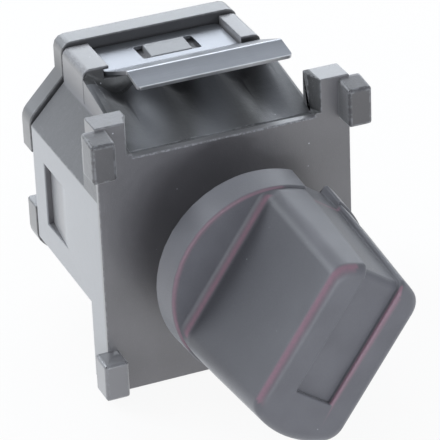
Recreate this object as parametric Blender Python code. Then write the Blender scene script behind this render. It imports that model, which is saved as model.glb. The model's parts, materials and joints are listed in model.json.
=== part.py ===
"""Rotary heater fan switch of a car dashboard.

A moulded housing with a square front plate, four stop blocks and a metal retaining clip on
top carries a turning knob. Behind the plate the knob's spindle turns a rotor with two
sprung detent balls and two sprung contact bridges. The rear moulding closes the housing
and holds five blade terminals inside the plug socket.

The origin is on the knob's axis, in the front plane of the plate. The knob points along -Y,
+X is to the right as seen by somebody who turns it, and +Z is up.
"""
import math

import bmesh
import bpy
from mathutils import Matrix, Vector

mm = 0.001

# Clearances
RUNNING_GAP = 0.35 * mm         # between pieces that turn past each other
SEAT_GAP = 0.3 * mm             # between pieces that are seated on each other
OVERRUN = 1.0 * mm              # how far a cutter runs on past the face it opens

# Front plate and its ears
PLATE_WIDTH = 42.0 * mm
PLATE_BOTTOM = -23.0 * mm       # height of the lower edge, from the knob's axis
PLATE_TOP = 17.3 * mm           # height of the notch between the ears
PLATE_DEPTH = 6.6 * mm
PLATE_WALL = 3.4 * mm           # what is left in front of the rotor chamber
EAR_WIDTH = 5.9 * mm
EAR_TOP = 23.4 * mm
EAR_DEPTH = 4.5 * mm
EAR_ROOT = 3.0 * mm             # how deep an ear's form starts inside the plate
EAR_SCOOP_RADIUS = 4.2 * mm     # hollow in the inner side of each ear, deepest at the front
EAR_SCOOP_DEPTH = 1.0 * mm
EAR_SCOOP_RISE = 0.6 * mm       # from the notch up to the scoop's lower end

# Stop blocks on the four corners of the plate
BLOCK_WIDTH = 3.95 * mm
BLOCK_OVERHANG = 2.05 * mm      # how far a block reaches past the plate's side
BLOCK_FRONT = 4.0 * mm          # how far a block stands in front of the plate
BLOCK_BACK = 0.7 * mm           # how far its overhang reaches back past the plate's front
UPPER_BLOCK_HEIGHT = 7.0 * mm
UPPER_BLOCK_DROP = 0.3 * mm     # from the top of the ear down to the top of the block
LOWER_BLOCK_HEIGHT = 6.4 * mm
LOWER_BLOCK_RISE = 1.2 * mm     # from the plate's lower edge up to the block
BLOCK_EDGE = 0.35 * mm

# Body behind the plate
BODY_DEPTH = 30.6 * mm          # from the plate's front to the rear edge of the side walls
SIDE_TOP = 10.5 * mm
SIDE_BOTTOM = -9.6 * mm
BOX_WIDTH = 30.4 * mm           # upper and lower box between the corner slopes
BOX_SHIFT = 0.2 * mm            # how far the boxes lie to the right of the knob's axis
BOX_FLARE = 0.5 * mm            # how much further the upper box stands out in front of the rails
BOX_FOOT = 0.3 * mm             # how far the corner slopes run on under the box
CORNER_RISE = 6.4 * mm          # height of the slope between a side wall and the box

# Latch recess in each side wall: deepest at the rear step, running out forwards
RECESS_HEIGHT = 10.8 * mm
RECESS_Z = 0.5 * mm
RECESS_REAR_MARGIN = 5.2 * mm   # from the rear edge of the side wall forward to the step
RECESS_LENGTH = 9.6 * mm
RECESS_DEPTH = 1.05 * mm

# Fluted slope between the plate and the clip's rails
SLOPE_START_Y = 1.6 * mm
SLOPE_START_Z = 17.55 * mm
SLOPE_END_Z = 21.2 * mm
FLUTES = 3
FLUTE_PITCH = 9.4 * mm
FLUTE_DEPTH = 3.2 * mm          # at the rails
FLUTE_FRONT_DEPTH = 0.15 * mm   # at the plate, where the flutes fade out
FLUTE_INSET = 0.05 * mm         # from the rails' outer side in to the fluted form

# Rails and pocket that hold the clip
RAIL_LENGTH = 9.3 * mm          # the rails end with the side walls
RAIL_LEFT_WIDTH = 4.5 * mm
RAIL_RIGHT_WIDTH = 3.4 * mm
RAIL_TOP = 22.7 * mm
RAIL_ROUNDING = 1.3 * mm
RAIL_LIP = 0.6 * mm             # thickness of the left rail's lip over the clip
CLIP_GROOVE = 0.9 * mm          # how far the pocket reaches in under that lip
POCKET_FLOOR = 20.6 * mm
POCKET_LEAD = 1.3 * mm          # how far the floor runs on in front of the rails

# Retaining clip of spring steel
CLIP_THICKNESS = 0.6 * mm
CLIP_REAR_MARGIN = 0.1 * mm     # from the clip's rear edge to the end of its pocket
CLIP_KNEE_MARGIN = 0.4 * mm     # from the rails' front ends back to the bend where the sheet rises
CLIP_RISE_LENGTH = 10.2 * mm
CLIP_RISE_HEIGHT = 4.5 * mm
CLIP_LIP_LENGTH = 4.5 * mm
CLIP_LIP_DROP = 0.9 * mm
CLIP_LIP_RIGHT = 14.7 * mm      # the lip runs out further to the right than the base
CLIP_WINDOW_LEFT = -3.9 * mm
CLIP_WINDOW_WIDTH = 10.0 * mm
CLIP_WINDOW_MARGIN = 2.5 * mm   # from the window back to the rear end of the pocket
CLIP_WINDOW_LENGTH = 4.8 * mm
PEG_SIDE_GAP = 1.5 * mm         # dark slot on each side of the peg that fills the window
PEG_HEIGHT = 0.9 * mm           # at the peg's front, flush with the sheet
PEG_REAR_HEIGHT = 1.25 * mm

# Collar that guides the knob's hub
COLLAR_RADIUS = 8.2 * mm
COLLAR_LENGTH = 6.5 * mm
COLLAR_BORE_DEPTH = 5.0 * mm

# Rotor chamber with its ring of detent notches
CHAMBER_RADIUS = 12.6 * mm
CHAMBER_DEPTH = 18.6 * mm       # where the chamber meets the seat of the rear moulding
NOTCH_RADIUS = 2.1 * mm
NOTCH_REACH = 0.5 * mm          # depth of a notch in the chamber's wall
POSITION_ANGLE = 35.0           # degrees between two switch positions
POSITIONS = 5
POINTER_ANGLE = 35.0            # degrees clockwise from straight up, as photographed

# Rear moulding: insert, rim and plug socket
INSERT_CORNER = 1.5 * mm
BASE_FRONT_Y = 18.9 * mm
BASE_WALL = 4.0 * mm
RIM_DEPTH = 4.3 * mm
RIM_TOP = 23.35 * mm
RIM_LEDGE = 0.1 * mm            # how far the rim stands proud of the side walls
RIM_SLOPE_LEDGE = 0.9 * mm      # how far it stands above the corner slopes
RIM_CORNER = 1.8 * mm           # rounding of its two top corners
RIM_SIDE_CORNER = 3.0 * mm      # rounding where its sides meet the corner slopes
RIM_EDGE = 0.45 * mm
RIM_NOTCH_HEIGHT = 9.8 * mm
RIM_NOTCH_DEPTH = 1.8 * mm
SOCKET_WALL = 1.5 * mm          # between the plug socket's sides and the insert's sides
SOCKET_HEIGHT = 18.0 * mm
SOCKET_CORNER = 1.2 * mm
KEY_WIDTH = 3.0 * mm
KEY_HEIGHT = 1.2 * mm

# Blade terminals
BLADE_WIDTH = 6.3 * mm
BLADE_SPACING = 1.0 * mm        # between neighbours in the upper row of three
BLADE_SIDE_MARGIN = 0.55 * mm   # from the outer blades to the sides of the plug socket
BLADE_THICKNESS = 0.8 * mm
BLADE_RECESS = 3.0 * mm         # from the rim's face in to the blades' ends
BLADE_TIP = 0.25 * mm           # chamfer on the blade's end
BLADE_ROW_Z = 5.2 * mm
LOWER_ROW_PITCH = 9.0 * mm
PAD_HEIGHT = 2.6 * mm
PAD_THICKNESS = 0.7 * mm

# Spindle, washer and retaining ring
SPINDLE_RADIUS = 3.0 * mm
SPINDLE_FLAT = 2.2 * mm         # distance of the flat from the axis
SPINDLE_FRONT_Y = -33.0 * mm
SPINDLE_CHAMFER = 0.4 * mm
KNOB_FLAT_LENGTH = 16.0 * mm
SPINDLE_REAR_Y = 15.4 * mm
WASHER_RADIUS = 6.2 * mm
WASHER_THICKNESS = 0.6 * mm
RING_RADIUS = 4.8 * mm
RING_THICKNESS = 0.6 * mm
RING_GROOVE_RADIUS = 2.3 * mm
RING_OPENING = 80.0             # degrees

# Rotor with ball pockets and bridge pockets
ROTOR_RADIUS = 11.7 * mm
ROTOR_FRONT_Y = 7.6 * mm
ROTOR_REAR_Y = 16.2 * mm
ROTOR_HUB_RADIUS = 5.4 * mm
ROTOR_HUB_FRONT_Y = 6.1 * mm
BALL_RADIUS = 1.8 * mm
BALL_Y = 11.6 * mm
BALL_POCKET_FLOOR = 5.2 * mm    # distance of the pocket's floor from the axis
BRIDGE_RADIUS = 7.4 * mm        # distance of a bridge's middle from the axis
BRIDGE_LENGTH = 6.6 * mm
BRIDGE_WIDTH = 4.0 * mm
BRIDGE_THICKNESS = 0.8 * mm
BRIDGE_EDGE = 0.15 * mm
BUMP_INSET = 1.4 * mm           # from a bridge's end to the middle of its contact bump
BUMP_FOOT_RADIUS = 1.0 * mm
BUMP_TIP_RADIUS = 0.5 * mm
BRIDGE_SLOT_DEPTH = 1.4 * mm
BRIDGE_SPRING_DEPTH = 3.4 * mm
SPRING_WIRE = 0.45 * mm
SPRING_RADIUS = 1.35 * mm
SPRING_TURNS = 4

# Knob
KNOB_REAR_Y = -10.6 * mm
SKIRT_REAR_RADIUS = 16.45 * mm
SKIRT_FRONT_RADIUS = 16.2 * mm
SKIRT_DEPTH = 5.8 * mm
SKIRT_EDGE = 0.3 * mm
SKIRT_LEDGE = 0.05 * mm         # least width of flat between the skirt's edge and the grip
BLADE_STEP = 0.25 * mm          # step from the skirt's front edge in to the grip's ends
GRIP_HEIGHT = 24.3 * mm
GRIP_BASE_HALF = 8.9 * mm       # half thickness of the grip just above the half-moon floor
GRIP_TOP_HALF = 8.0 * mm
GRIP_END_RADIUS = 14.4 * mm     # distance of the grip's ends from the axis at its top
GRIP_CORNER = 3.0 * mm
GRIP_TOP_ROUNDING = 1.5 * mm
GRIP_END_ROUNDING = 2.0 * mm
GRIP_FOOT_FILLET = 1.3 * mm
KNOB_WALL = 2.2 * mm
POINTER_SLOT_HALF = 3.25 * mm
POINTER_SLOT_TAIL = 7.2 * mm    # how far the slot runs past the axis, away from the pointer
POINTER_SLOT_DEPTH = 1.0 * mm
POINTER_END_DEPTH = 1.4 * mm
POINTER_BACKING = 1.4 * mm      # wall behind the slot where it cuts through the skirt
HUB_RADIUS = 5.5 * mm
HUB_REACH = 8.3 * mm            # how far the hub stands out behind the skirt
GRIP_SPRING_THICKNESS = 0.4 * mm
GRIP_SPRING_WIDTH = 3.4 * mm
GRIP_SPRING_LENGTH = 11.0 * mm

# Fineness of the round forms
SEGMENTS = 48
SIDE_STEPS = 6                  # along half a flat side of the grip
ARC_STEPS = 4

HALF_WIDTH = PLATE_WIDTH / 2
BOX_LEFT = BOX_SHIFT - BOX_WIDTH / 2
BOX_RIGHT = BOX_SHIFT + BOX_WIDTH / 2
RAIL_START_Y = BODY_DEPTH - RAIL_LENGTH
RIM_REAR_Y = BODY_DEPTH + SEAT_GAP + RIM_DEPTH
BLADE_END_Y = RIM_REAR_Y - BLADE_RECESS
UPPER_ROW_PITCH = BLADE_WIDTH + BLADE_SPACING
SOCKET_WIDTH = 2 * UPPER_ROW_PITCH + BLADE_WIDTH + 2 * BLADE_SIDE_MARGIN
INSERT_HALF = SOCKET_WIDTH / 2 + SOCKET_WALL


def clear_scene():
    for obj in list(bpy.data.objects):
        bpy.data.objects.remove(obj, do_unlink=True)


def material(name, color, roughness, metallic=0.0):
    mat = bpy.data.materials.new(name)
    mat.use_nodes = True
    shader = mat.node_tree.nodes["Principled BSDF"]
    shader.inputs["Base Color"].default_value = (*color, 1.0)
    shader.inputs["Roughness"].default_value = roughness
    shader.inputs["Metallic"].default_value = metallic
    mat.diffuse_color = (*color, 1.0)
    return mat


def add_object(name, bm, mat=None, smooth_angle=None):
    bmesh.ops.recalc_face_normals(bm, faces=bm.faces)
    mesh = bpy.data.meshes.new(name)
    bm.to_mesh(mesh)
    bm.free()
    obj = bpy.data.objects.new(name, mesh)
    bpy.context.scene.collection.objects.link(obj)
    if mat is not None:
        mesh.materials.append(mat)
    if smooth_angle is not None:
        mesh.shade_smooth()
        mesh.set_sharp_from_angle(angle=math.radians(smooth_angle))
    return obj


def helper(obj):
    """Mark a cutter or a joined-on form as a tool that isn't part of the model."""
    obj.hide_render = True
    obj.display_type = 'WIRE'
    return obj


def combine(target, tool, operation, solver='EXACT'):
    helper(tool)
    mod = target.modifiers.new(tool.name, 'BOOLEAN')
    mod.operation = operation
    mod.solver = solver
    mod.object = tool
    return target


def cut(target, tool):
    return combine(target, tool, 'DIFFERENCE')


def join(target, tool):
    return combine(target, tool, 'UNION')


def box_bm(low, high):
    """A block whose faces lie exactly on the given coordinates, so that neighbours share planes."""
    bm = bmesh.new()
    verts = [bm.verts.new((x, y, z))
             for x in (low[0], high[0]) for y in (low[1], high[1]) for z in (low[2], high[2])]
    for a, b, c, d in ((0, 1, 3, 2), (4, 6, 7, 5), (0, 4, 5, 1), (2, 3, 7, 6), (0, 2, 6, 4), (1, 5, 7, 3)):
        bm.faces.new((verts[a], verts[b], verts[c], verts[d]))
    return bm


def box(name, low, high, mat=None, bevel=0.0):
    """A block between two corners, with its edges broken by bevel."""
    bm = box_bm(low, high)
    if bevel:
        bmesh.ops.bevel(bm, geom=bm.edges[:], offset=bevel, segments=1, profile=0.5, affect='EDGES')
    return add_object(name, bm, mat)


def rod(name, radius, start, end, mat=None, segments=SEGMENTS, end_radius=None):
    """A cylinder or cone between two points."""
    start = Vector(start)
    end = Vector(end)
    bm = bmesh.new()
    turn = (end - start).to_track_quat('Z', 'Y').to_matrix().to_4x4()
    place = Matrix.Translation((start + end) / 2) @ turn
    bmesh.ops.create_cone(bm, cap_ends=True, segments=segments, radius1=radius,
                          radius2=radius if end_radius is None else end_radius,
                          depth=(end - start).length, matrix=place)
    return add_object(name, bm, mat, 30)


def flatted_rod(name, radius, flat, low, high):
    """A cylinder along Y with a flat at the given height, for a bore that a flatted spindle drives."""
    bm = bmesh.new()
    turn = Matrix.Rotation(math.radians(90), 4, 'X')
    bmesh.ops.create_cone(bm, cap_ends=True, segments=32, radius1=radius, radius2=radius, depth=high - low,
                          matrix=Matrix.Translation((0, (low + high) / 2, 0)) @ turn)
    bmesh.ops.bisect_plane(bm, geom=bm.verts[:] + bm.edges[:] + bm.faces[:], plane_co=(0, 0, flat),
                           plane_no=(0, 0, 1), clear_outer=True)
    bmesh.ops.contextual_create(bm, geom=[e for e in bm.edges if e.is_boundary])
    return add_object(name, bm)


def prism(name, outline, axis, low, high, mat=None, chamfer=0.0):
    """Extrude an outline along an axis. For Y the outline is (x, z), for X it is (y, z)."""
    bm = bmesh.new()

    def ring(level):
        if axis == 'Y':
            return [bm.verts.new((a, level, b)) for a, b in outline]
        return [bm.verts.new((level, a, b)) for a, b in outline]

    near = ring(low)
    far = ring(high)
    bm.faces.new(near)
    end = bm.faces.new(far)
    for i in range(len(near)):
        j = (i + 1) % len(near)
        bm.faces.new((near[i], near[j], far[j], far[i]))
    if chamfer:
        bmesh.ops.recalc_face_normals(bm, faces=bm.faces)
        bmesh.ops.bevel(bm, geom=list(end.edges), offset=chamfer, segments=1, profile=0.5, affect='EDGES')
    return add_object(name, bm, mat)


def rounded(outline, radius, steps=ARC_STEPS, only=None):
    """Round the corners of an outline; only lists the corners to round, by their index."""
    result = []
    count = len(outline)
    for i, corner in enumerate(outline):
        here = Vector(corner)
        if only is not None and i not in only:
            result.append(tuple(here))
            continue
        before = (Vector(outline[i - 1]) - here).normalized()
        after = (Vector(outline[(i + 1) % count]) - here).normalized()
        half = before.angle(after) / 2
        reach = radius / math.tan(half)
        centre = here + (before + after).normalized() * (radius / math.sin(half))
        first = here + before * reach - centre
        last = here + after * reach - centre
        sweep = first.angle_signed(last)
        for k in range(steps + 1):
            turned = first.copy()
            turned.rotate(Matrix.Rotation(-sweep * k / steps, 2))
            result.append(tuple(centre + turned))
    return result


def rectangle(left, right, low, high):
    return [(left, low), (right, low), (right, high), (left, high)]


def body_outline():
    """The octagonal section of the body, as (x, z) points from the lower left corner.

    The corner slopes run on a little way under the sides of the box that stands on them.
    """
    left = BOX_LEFT + BOX_FOOT
    right = BOX_RIGHT - BOX_FOOT
    left_rise = CORNER_RISE * (HALF_WIDTH + left) / (HALF_WIDTH + BOX_LEFT)
    right_rise = CORNER_RISE * (HALF_WIDTH - right) / (HALF_WIDTH - BOX_RIGHT)
    return [(left, SIDE_BOTTOM - left_rise), (right, SIDE_BOTTOM - right_rise), (HALF_WIDTH, SIDE_BOTTOM),
            (HALF_WIDTH, SIDE_TOP), (right, SIDE_TOP + right_rise), (left, SIDE_TOP + left_rise),
            (-HALF_WIDTH, SIDE_TOP), (-HALF_WIDTH, SIDE_BOTTOM)]


def fluted_slope():
    """Block whose top rises from the plate to the rails and sinks into three flutes.

    Its left side runs out to the plate from the rail's side, and its right side stands proud.
    Beyond the outer flutes the crests run on flat to both sides.
    """
    bm = bmesh.new()
    steps = 36
    left = BOX_LEFT + FLUTE_INSET
    right = BOX_RIGHT + BOX_FLARE
    foot = SIDE_TOP
    length = RAIL_START_Y + SEAT_GAP - SLOPE_START_Y
    top, bottom = [], []
    for t in (0.0, 0.35, 0.7, 1.0):
        y = SLOPE_START_Y + length * t
        crest = SLOPE_START_Z + (SLOPE_END_Z - SLOPE_START_Z) * t
        depth = FLUTE_FRONT_DEPTH + (FLUTE_DEPTH - FLUTE_FRONT_DEPTH) * t
        start = left - BOX_FLARE * (1 - t)
        xs = [start + (right - start) * i / steps for i in range(steps + 1)]
        turns = [min(abs(x) / FLUTE_PITCH, FLUTES / 2) for x in xs]
        wave = [depth * (0.5 + 0.5 * math.cos(2 * math.pi * turn)) for turn in turns]
        top.append([bm.verts.new((x, y, crest - w)) for x, w in zip(xs, wave)])
        bottom.append([bm.verts.new((x, y, foot)) for x in xs])
    for i in range(steps):
        for near, far in zip(top, top[1:]):
            bm.faces.new((near[i], near[i + 1], far[i + 1]))
            bm.faces.new((near[i], far[i + 1], far[i]))
        for near, far in zip(bottom, bottom[1:]):
            bm.faces.new((near[i], near[i + 1], far[i + 1], far[i]))
        for k in (0, -1):
            bm.faces.new((top[k][i], top[k][i + 1], bottom[k][i + 1], bottom[k][i]))
    for k in (0, -1):
        for j in range(len(top) - 1):
            bm.faces.new((top[j][k], top[j + 1][k], bottom[j + 1][k], bottom[j][k]))
    return add_object("slope_form", bm)


def stop_block(name, side, low, high):
    outer = HALF_WIDTH + BLOCK_OVERHANG
    inner = outer - BLOCK_WIDTH
    xs = sorted((side * inner, side * outer))
    return box(name, (xs[0], -BLOCK_FRONT, low), (xs[1], BLOCK_BACK, high), bevel=BLOCK_EDGE)


def latch_recess(name, side):
    """Wedge that is deepest at its rear step and runs out on the wall in front."""
    step = BODY_DEPTH - RECESS_REAR_MARGIN
    front = step - RECESS_LENGTH
    wall = side * HALF_WIDTH
    deep = side * (HALF_WIDTH - RECESS_DEPTH)
    outside = side * (HALF_WIDTH + RECESS_DEPTH)
    bm = bmesh.new()
    low = RECESS_Z - RECESS_HEIGHT / 2
    base = [bm.verts.new((x, y, low)) for x, y in
            ((wall, front), (outside, front), (outside, step), (deep, step))]
    face = bm.faces.new(base)
    grown = bmesh.ops.extrude_face_region(bm, geom=[face])
    moved = [v for v in grown["geom"] if isinstance(v, bmesh.types.BMVert)]
    bmesh.ops.translate(bm, verts=moved, vec=(0.0, 0.0, RECESS_HEIGHT))
    return add_object(name, bm)


def make_housing(mat):
    housing = prism("housing", body_outline(), 'Y', PLATE_DEPTH / 2, BODY_DEPTH, mat)
    join(housing, box("plate_form", (-HALF_WIDTH, 0.0, PLATE_BOTTOM), (HALF_WIDTH, PLATE_DEPTH, PLATE_TOP)))
    join(housing, fluted_slope())

    # The block of the rails is one prism with rounded outer edges, and the pocket is cut from it.
    foot = SIDE_TOP - CORNER_RISE
    rails = rounded(rectangle(BOX_LEFT, BOX_RIGHT, foot, RAIL_TOP), RAIL_ROUNDING, 3, only=(2, 3))
    join(housing, prism("rail_form", rails, 'Y', RAIL_START_Y, BODY_DEPTH))
    lip_left = BOX_LEFT + RAIL_LEFT_WIDTH
    groove_left = lip_left - CLIP_GROOVE
    pocket_right = BOX_RIGHT - RAIL_RIGHT_WIDTH
    pocket = [(groove_left, POCKET_FLOOR), (pocket_right, POCKET_FLOOR), (pocket_right, RAIL_TOP + OVERRUN),
              (lip_left, RAIL_TOP + OVERRUN), (lip_left, RAIL_TOP - RAIL_LIP),
              (groove_left, RAIL_TOP - RAIL_LIP)]
    cut(housing, prism("clip_pocket", pocket, 'Y', RAIL_START_Y - POCKET_LEAD, BODY_DEPTH + OVERRUN))
    peg_left = CLIP_WINDOW_LEFT + PEG_SIDE_GAP
    peg_right = CLIP_WINDOW_LEFT + CLIP_WINDOW_WIDTH - PEG_SIDE_GAP
    peg_rear = BODY_DEPTH - CLIP_WINDOW_MARGIN - SEAT_GAP
    peg_front = peg_rear - CLIP_WINDOW_LENGTH + 2 * SEAT_GAP
    peg = [(peg_front, POCKET_FLOOR - OVERRUN), (peg_rear, POCKET_FLOOR - OVERRUN),
           (peg_rear, POCKET_FLOOR + PEG_REAR_HEIGHT), (peg_front, POCKET_FLOOR + PEG_HEIGHT)]
    join(housing, prism("clip_peg", peg, 'X', peg_left, peg_right))

    for side, word in ((-1, "left"), (1, "right")):
        xs = sorted((side * HALF_WIDTH, side * (HALF_WIDTH - EAR_WIDTH)))
        ear = box("ear_" + word, (xs[0], 0.0, PLATE_TOP - EAR_ROOT), (xs[1], EAR_DEPTH, EAR_TOP))
        scoop_x = side * (HALF_WIDTH - EAR_WIDTH + EAR_SCOOP_DEPTH - EAR_SCOOP_RADIUS)
        join(housing, cut(ear, rod("ear_scoop_" + word, EAR_SCOOP_RADIUS,
                                   (scoop_x, 0, PLATE_TOP + EAR_SCOOP_RISE),
                                   (scoop_x, 0, EAR_TOP + OVERRUN), segments=32)))
        top = EAR_TOP - UPPER_BLOCK_DROP
        join(housing, stop_block("upper_stop_" + word, side, top - UPPER_BLOCK_HEIGHT, top))
        bottom = PLATE_BOTTOM + LOWER_BLOCK_RISE
        join(housing, stop_block("lower_stop_" + word, side, bottom, bottom + LOWER_BLOCK_HEIGHT))
        cut(housing, latch_recess("latch_recess_" + word, side))

    join(housing, rod("collar_form", COLLAR_RADIUS, (0, -COLLAR_LENGTH, 0), (0, PLATE_WALL / 2, 0)))
    hub_bore = HUB_RADIUS + RUNNING_GAP
    cut(housing, rod("collar_bore", hub_bore, (0, -COLLAR_LENGTH - OVERRUN, 0),
                     (0, COLLAR_BORE_DEPTH - COLLAR_LENGTH, 0)))
    cut(housing, rod("spindle_bore", SPINDLE_RADIUS + RUNNING_GAP, (0, -COLLAR_LENGTH, 0),
                     (0, PLATE_WALL + OVERRUN, 0)))
    cut(housing, rod("rotor_chamber", CHAMBER_RADIUS, (0, PLATE_WALL, 0), (0, CHAMBER_DEPTH + OVERRUN, 0),
                     segments=72))
    seat = INSERT_HALF + SEAT_GAP
    cut(housing, prism("insert_seat", rounded(rectangle(-seat, seat, -seat, seat), INSERT_CORNER), 'Y',
                       CHAMBER_DEPTH, BODY_DEPTH + OVERRUN))
    notch_centre = CHAMBER_RADIUS + NOTCH_REACH - NOTCH_RADIUS
    for side, word in ((-1, "left"), (1, "right")):
        for k in range(POSITIONS):
            angle = math.radians((k - (POSITIONS - 1) / 2) * POSITION_ANGLE)
            x = side * notch_centre * math.cos(angle)
            z = notch_centre * math.sin(angle)
            low = BALL_Y - BALL_RADIUS - RUNNING_GAP
            high = BALL_Y + BALL_RADIUS + RUNNING_GAP
            cut(housing, rod("detent_notch_%s_%d" % (word, k), NOTCH_RADIUS, (x, low, z), (x, high, z),
                             segments=16))
    return housing


def make_rear_socket(mat):
    rim_front = BODY_DEPTH + SEAT_GAP
    half = HALF_WIDTH + RIM_LEDGE
    ledge = RIM_SLOPE_LEDGE
    top = SIDE_TOP + CORNER_RISE + ledge
    bottom = SIDE_BOTTOM - CORNER_RISE - ledge
    outline = [(BOX_LEFT, bottom), (BOX_RIGHT, bottom), (half, SIDE_BOTTOM - ledge), (half, SIDE_TOP + ledge),
               (BOX_RIGHT, top), (BOX_RIGHT, RIM_TOP), (BOX_LEFT, RIM_TOP), (BOX_LEFT, top),
               (-half, SIDE_TOP + ledge), (-half, SIDE_BOTTOM - ledge)]
    outline = rounded(outline, RIM_CORNER, 3, only=(5, 6))
    sides = [i for i, (x, z) in enumerate(outline) if abs(x) > HALF_WIDTH]
    outline = rounded(outline, RIM_SIDE_CORNER, 3, only=sides)
    socket = prism("rear_socket", outline, 'Y', rim_front, RIM_REAR_Y, mat, chamfer=RIM_EDGE)
    insert = rounded(rectangle(-INSERT_HALF, INSERT_HALF, -INSERT_HALF, INSERT_HALF), INSERT_CORNER)
    join(socket, prism("insert_form", insert, 'Y', BASE_FRONT_Y, rim_front + RIM_DEPTH / 2))
    mouth = rectangle(-SOCKET_WIDTH / 2, SOCKET_WIDTH / 2, -SOCKET_HEIGHT / 2, SOCKET_HEIGHT / 2)
    cut(socket, prism("socket_hollow", rounded(mouth, SOCKET_CORNER), 'Y', BASE_FRONT_Y + BASE_WALL,
                      RIM_REAR_Y + OVERRUN))
    for side, word in ((-1, "left"), (1, "right")):
        xs = sorted((side * (half - RIM_NOTCH_DEPTH), side * (half + OVERRUN)))
        cut(socket, box("rim_notch_" + word, (xs[0], rim_front - OVERRUN, RECESS_Z - RIM_NOTCH_HEIGHT / 2),
                        (xs[1], RIM_REAR_Y + OVERRUN, RECESS_Z + RIM_NOTCH_HEIGHT / 2)))
        key_x = side * (SOCKET_WIDTH / 2 - KEY_WIDTH / 2 - SOCKET_CORNER)
        cut(socket, box("keyway_" + word,
                        (key_x - KEY_WIDTH / 2, BASE_FRONT_Y + BASE_WALL, SOCKET_HEIGHT / 4),
                        (key_x + KEY_WIDTH / 2, RIM_REAR_Y + OVERRUN, SOCKET_HEIGHT / 2 + KEY_HEIGHT)))
    for name, x, z in terminal_places():
        w = BLADE_WIDTH / 2 + SEAT_GAP
        t = BLADE_THICKNESS / 2 + SEAT_GAP
        cut(socket, box("slot_" + name, (x - w, BASE_FRONT_Y - OVERRUN, z - t),
                        (x + w, BASE_FRONT_Y + BASE_WALL + OVERRUN, z + t)))
    return socket


def terminal_places():
    """Name and place of each blade: three in the upper row, two in the lower one."""
    return [("terminal_speed_1", -UPPER_ROW_PITCH, BLADE_ROW_Z), ("terminal_speed_2", 0.0, BLADE_ROW_Z),
            ("terminal_speed_3", UPPER_ROW_PITCH, BLADE_ROW_Z),
            ("terminal_speed_4", LOWER_ROW_PITCH / 2, -BLADE_ROW_Z),
            ("terminal_feed", -LOWER_ROW_PITCH / 2, -BLADE_ROW_Z)]


def pads_front():
    """Plane of the terminals' contact pads, on which the bridges run."""
    return BASE_FRONT_Y - SEAT_GAP - PAD_THICKNESS


def make_terminal(name, x, z, mat):
    pad_rear = BASE_FRONT_Y - SEAT_GAP
    w = BLADE_WIDTH / 2
    t = BLADE_THICKNESS / 2
    start = pads_front() + PAD_THICKNESS / 2
    bm = box_bm((x - w, start, z - t), (x + w, BLADE_END_Y, z + t))
    tip = [e for e in bm.edges if all(v.co.y > start + BLADE_TIP for v in e.verts)]
    bmesh.ops.bevel(bm, geom=tip, offset=BLADE_TIP, segments=1, profile=0.5, affect='EDGES')
    blade = add_object(name, bm, mat)
    join(blade, box(name + "_pad", (x - w, pads_front(), z - PAD_HEIGHT / 2),
                    (x + w, pad_rear, z + PAD_HEIGHT / 2)))
    return blade


def make_clip(mat):
    """Spring steel sheet: flat base in the pocket, a rise, and a lip that turns down."""
    left = BOX_LEFT + RAIL_LEFT_WIDTH - CLIP_GROOVE + SEAT_GAP
    right = BOX_RIGHT - RAIL_RIGHT_WIDTH - SEAT_GAP
    floor = POCKET_FLOOR + SEAT_GAP + CLIP_THICKNESS / 2
    rear = BODY_DEPTH - CLIP_REAR_MARGIN
    knee_y = RAIL_START_Y + CLIP_KNEE_MARGIN
    bend_y = knee_y - CLIP_RISE_LENGTH
    bend_z = floor + CLIP_RISE_HEIGHT
    lip_y = bend_y - CLIP_LIP_LENGTH
    lip_z = bend_z - CLIP_LIP_DROP
    centre = [(rear, floor), (knee_y, floor), (bend_y, bend_z), (lip_y, lip_z)]
    half = CLIP_THICKNESS / 2
    upper, lower = [], []
    for i, point in enumerate(centre):
        here = Vector(point)
        ahead = (Vector(centre[min(i + 1, 3)]) - Vector(centre[min(i, 2)])).normalized()
        behind = (Vector(centre[max(i, 1)]) - Vector(centre[max(i - 1, 0)])).normalized()
        normal_a = Vector((ahead.y, -ahead.x))
        normal_b = Vector((behind.y, -behind.x))
        mitre = (normal_a + normal_b).normalized()
        offset = mitre * (half / mitre.dot(normal_a))
        upper.append(tuple(here + offset))
        lower.append(tuple(here - offset))
    outline = upper + lower[::-1]
    clip = prism("retaining_clip", outline, 'X', left, CLIP_LIP_RIGHT, mat)
    cut(clip, box("clip_side_trim", (right, RAIL_START_Y - 2 * SEAT_GAP, POCKET_FLOOR - OVERRUN),
                  (CLIP_LIP_RIGHT + OVERRUN, rear + OVERRUN, bend_z + OVERRUN)))
    window_rear = BODY_DEPTH - CLIP_WINDOW_MARGIN
    cut(clip, box("clip_window", (CLIP_WINDOW_LEFT, window_rear - CLIP_WINDOW_LENGTH, POCKET_FLOOR),
                  (CLIP_WINDOW_LEFT + CLIP_WINDOW_WIDTH, window_rear, RAIL_TOP + OVERRUN)))
    return clip


def grip_ring(half, radius, corner, y):
    """One level of the grip: a disc cut off by two flat sides, with rounded corners.

    The points run once round, starting at the middle of the +X side. They are (x, y, z) with
    the pointer along +Z.
    """
    reach = math.sqrt((radius - corner) ** 2 - (half - corner) ** 2)
    turn = math.atan2(reach, half - corner)
    quarter = [(half, reach * k / SIDE_STEPS) for k in range(SIDE_STEPS)]
    for k in range(ARC_STEPS):
        a = turn * k / ARC_STEPS
        quarter.append((half - corner + corner * math.cos(a), reach + corner * math.sin(a)))
    for k in range(ARC_STEPS):
        a = turn + (math.pi / 2 - turn) * k / ARC_STEPS
        quarter.append((radius * math.cos(a), radius * math.sin(a)))
    tip = (0.0, radius)
    back = [(-x, z) for x, z in reversed(quarter[1:])]
    upper = quarter + [tip] + back
    lower = [(-x, -z) for x, z in upper]
    return [(x, y, z) for x, z in upper + lower]


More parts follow.
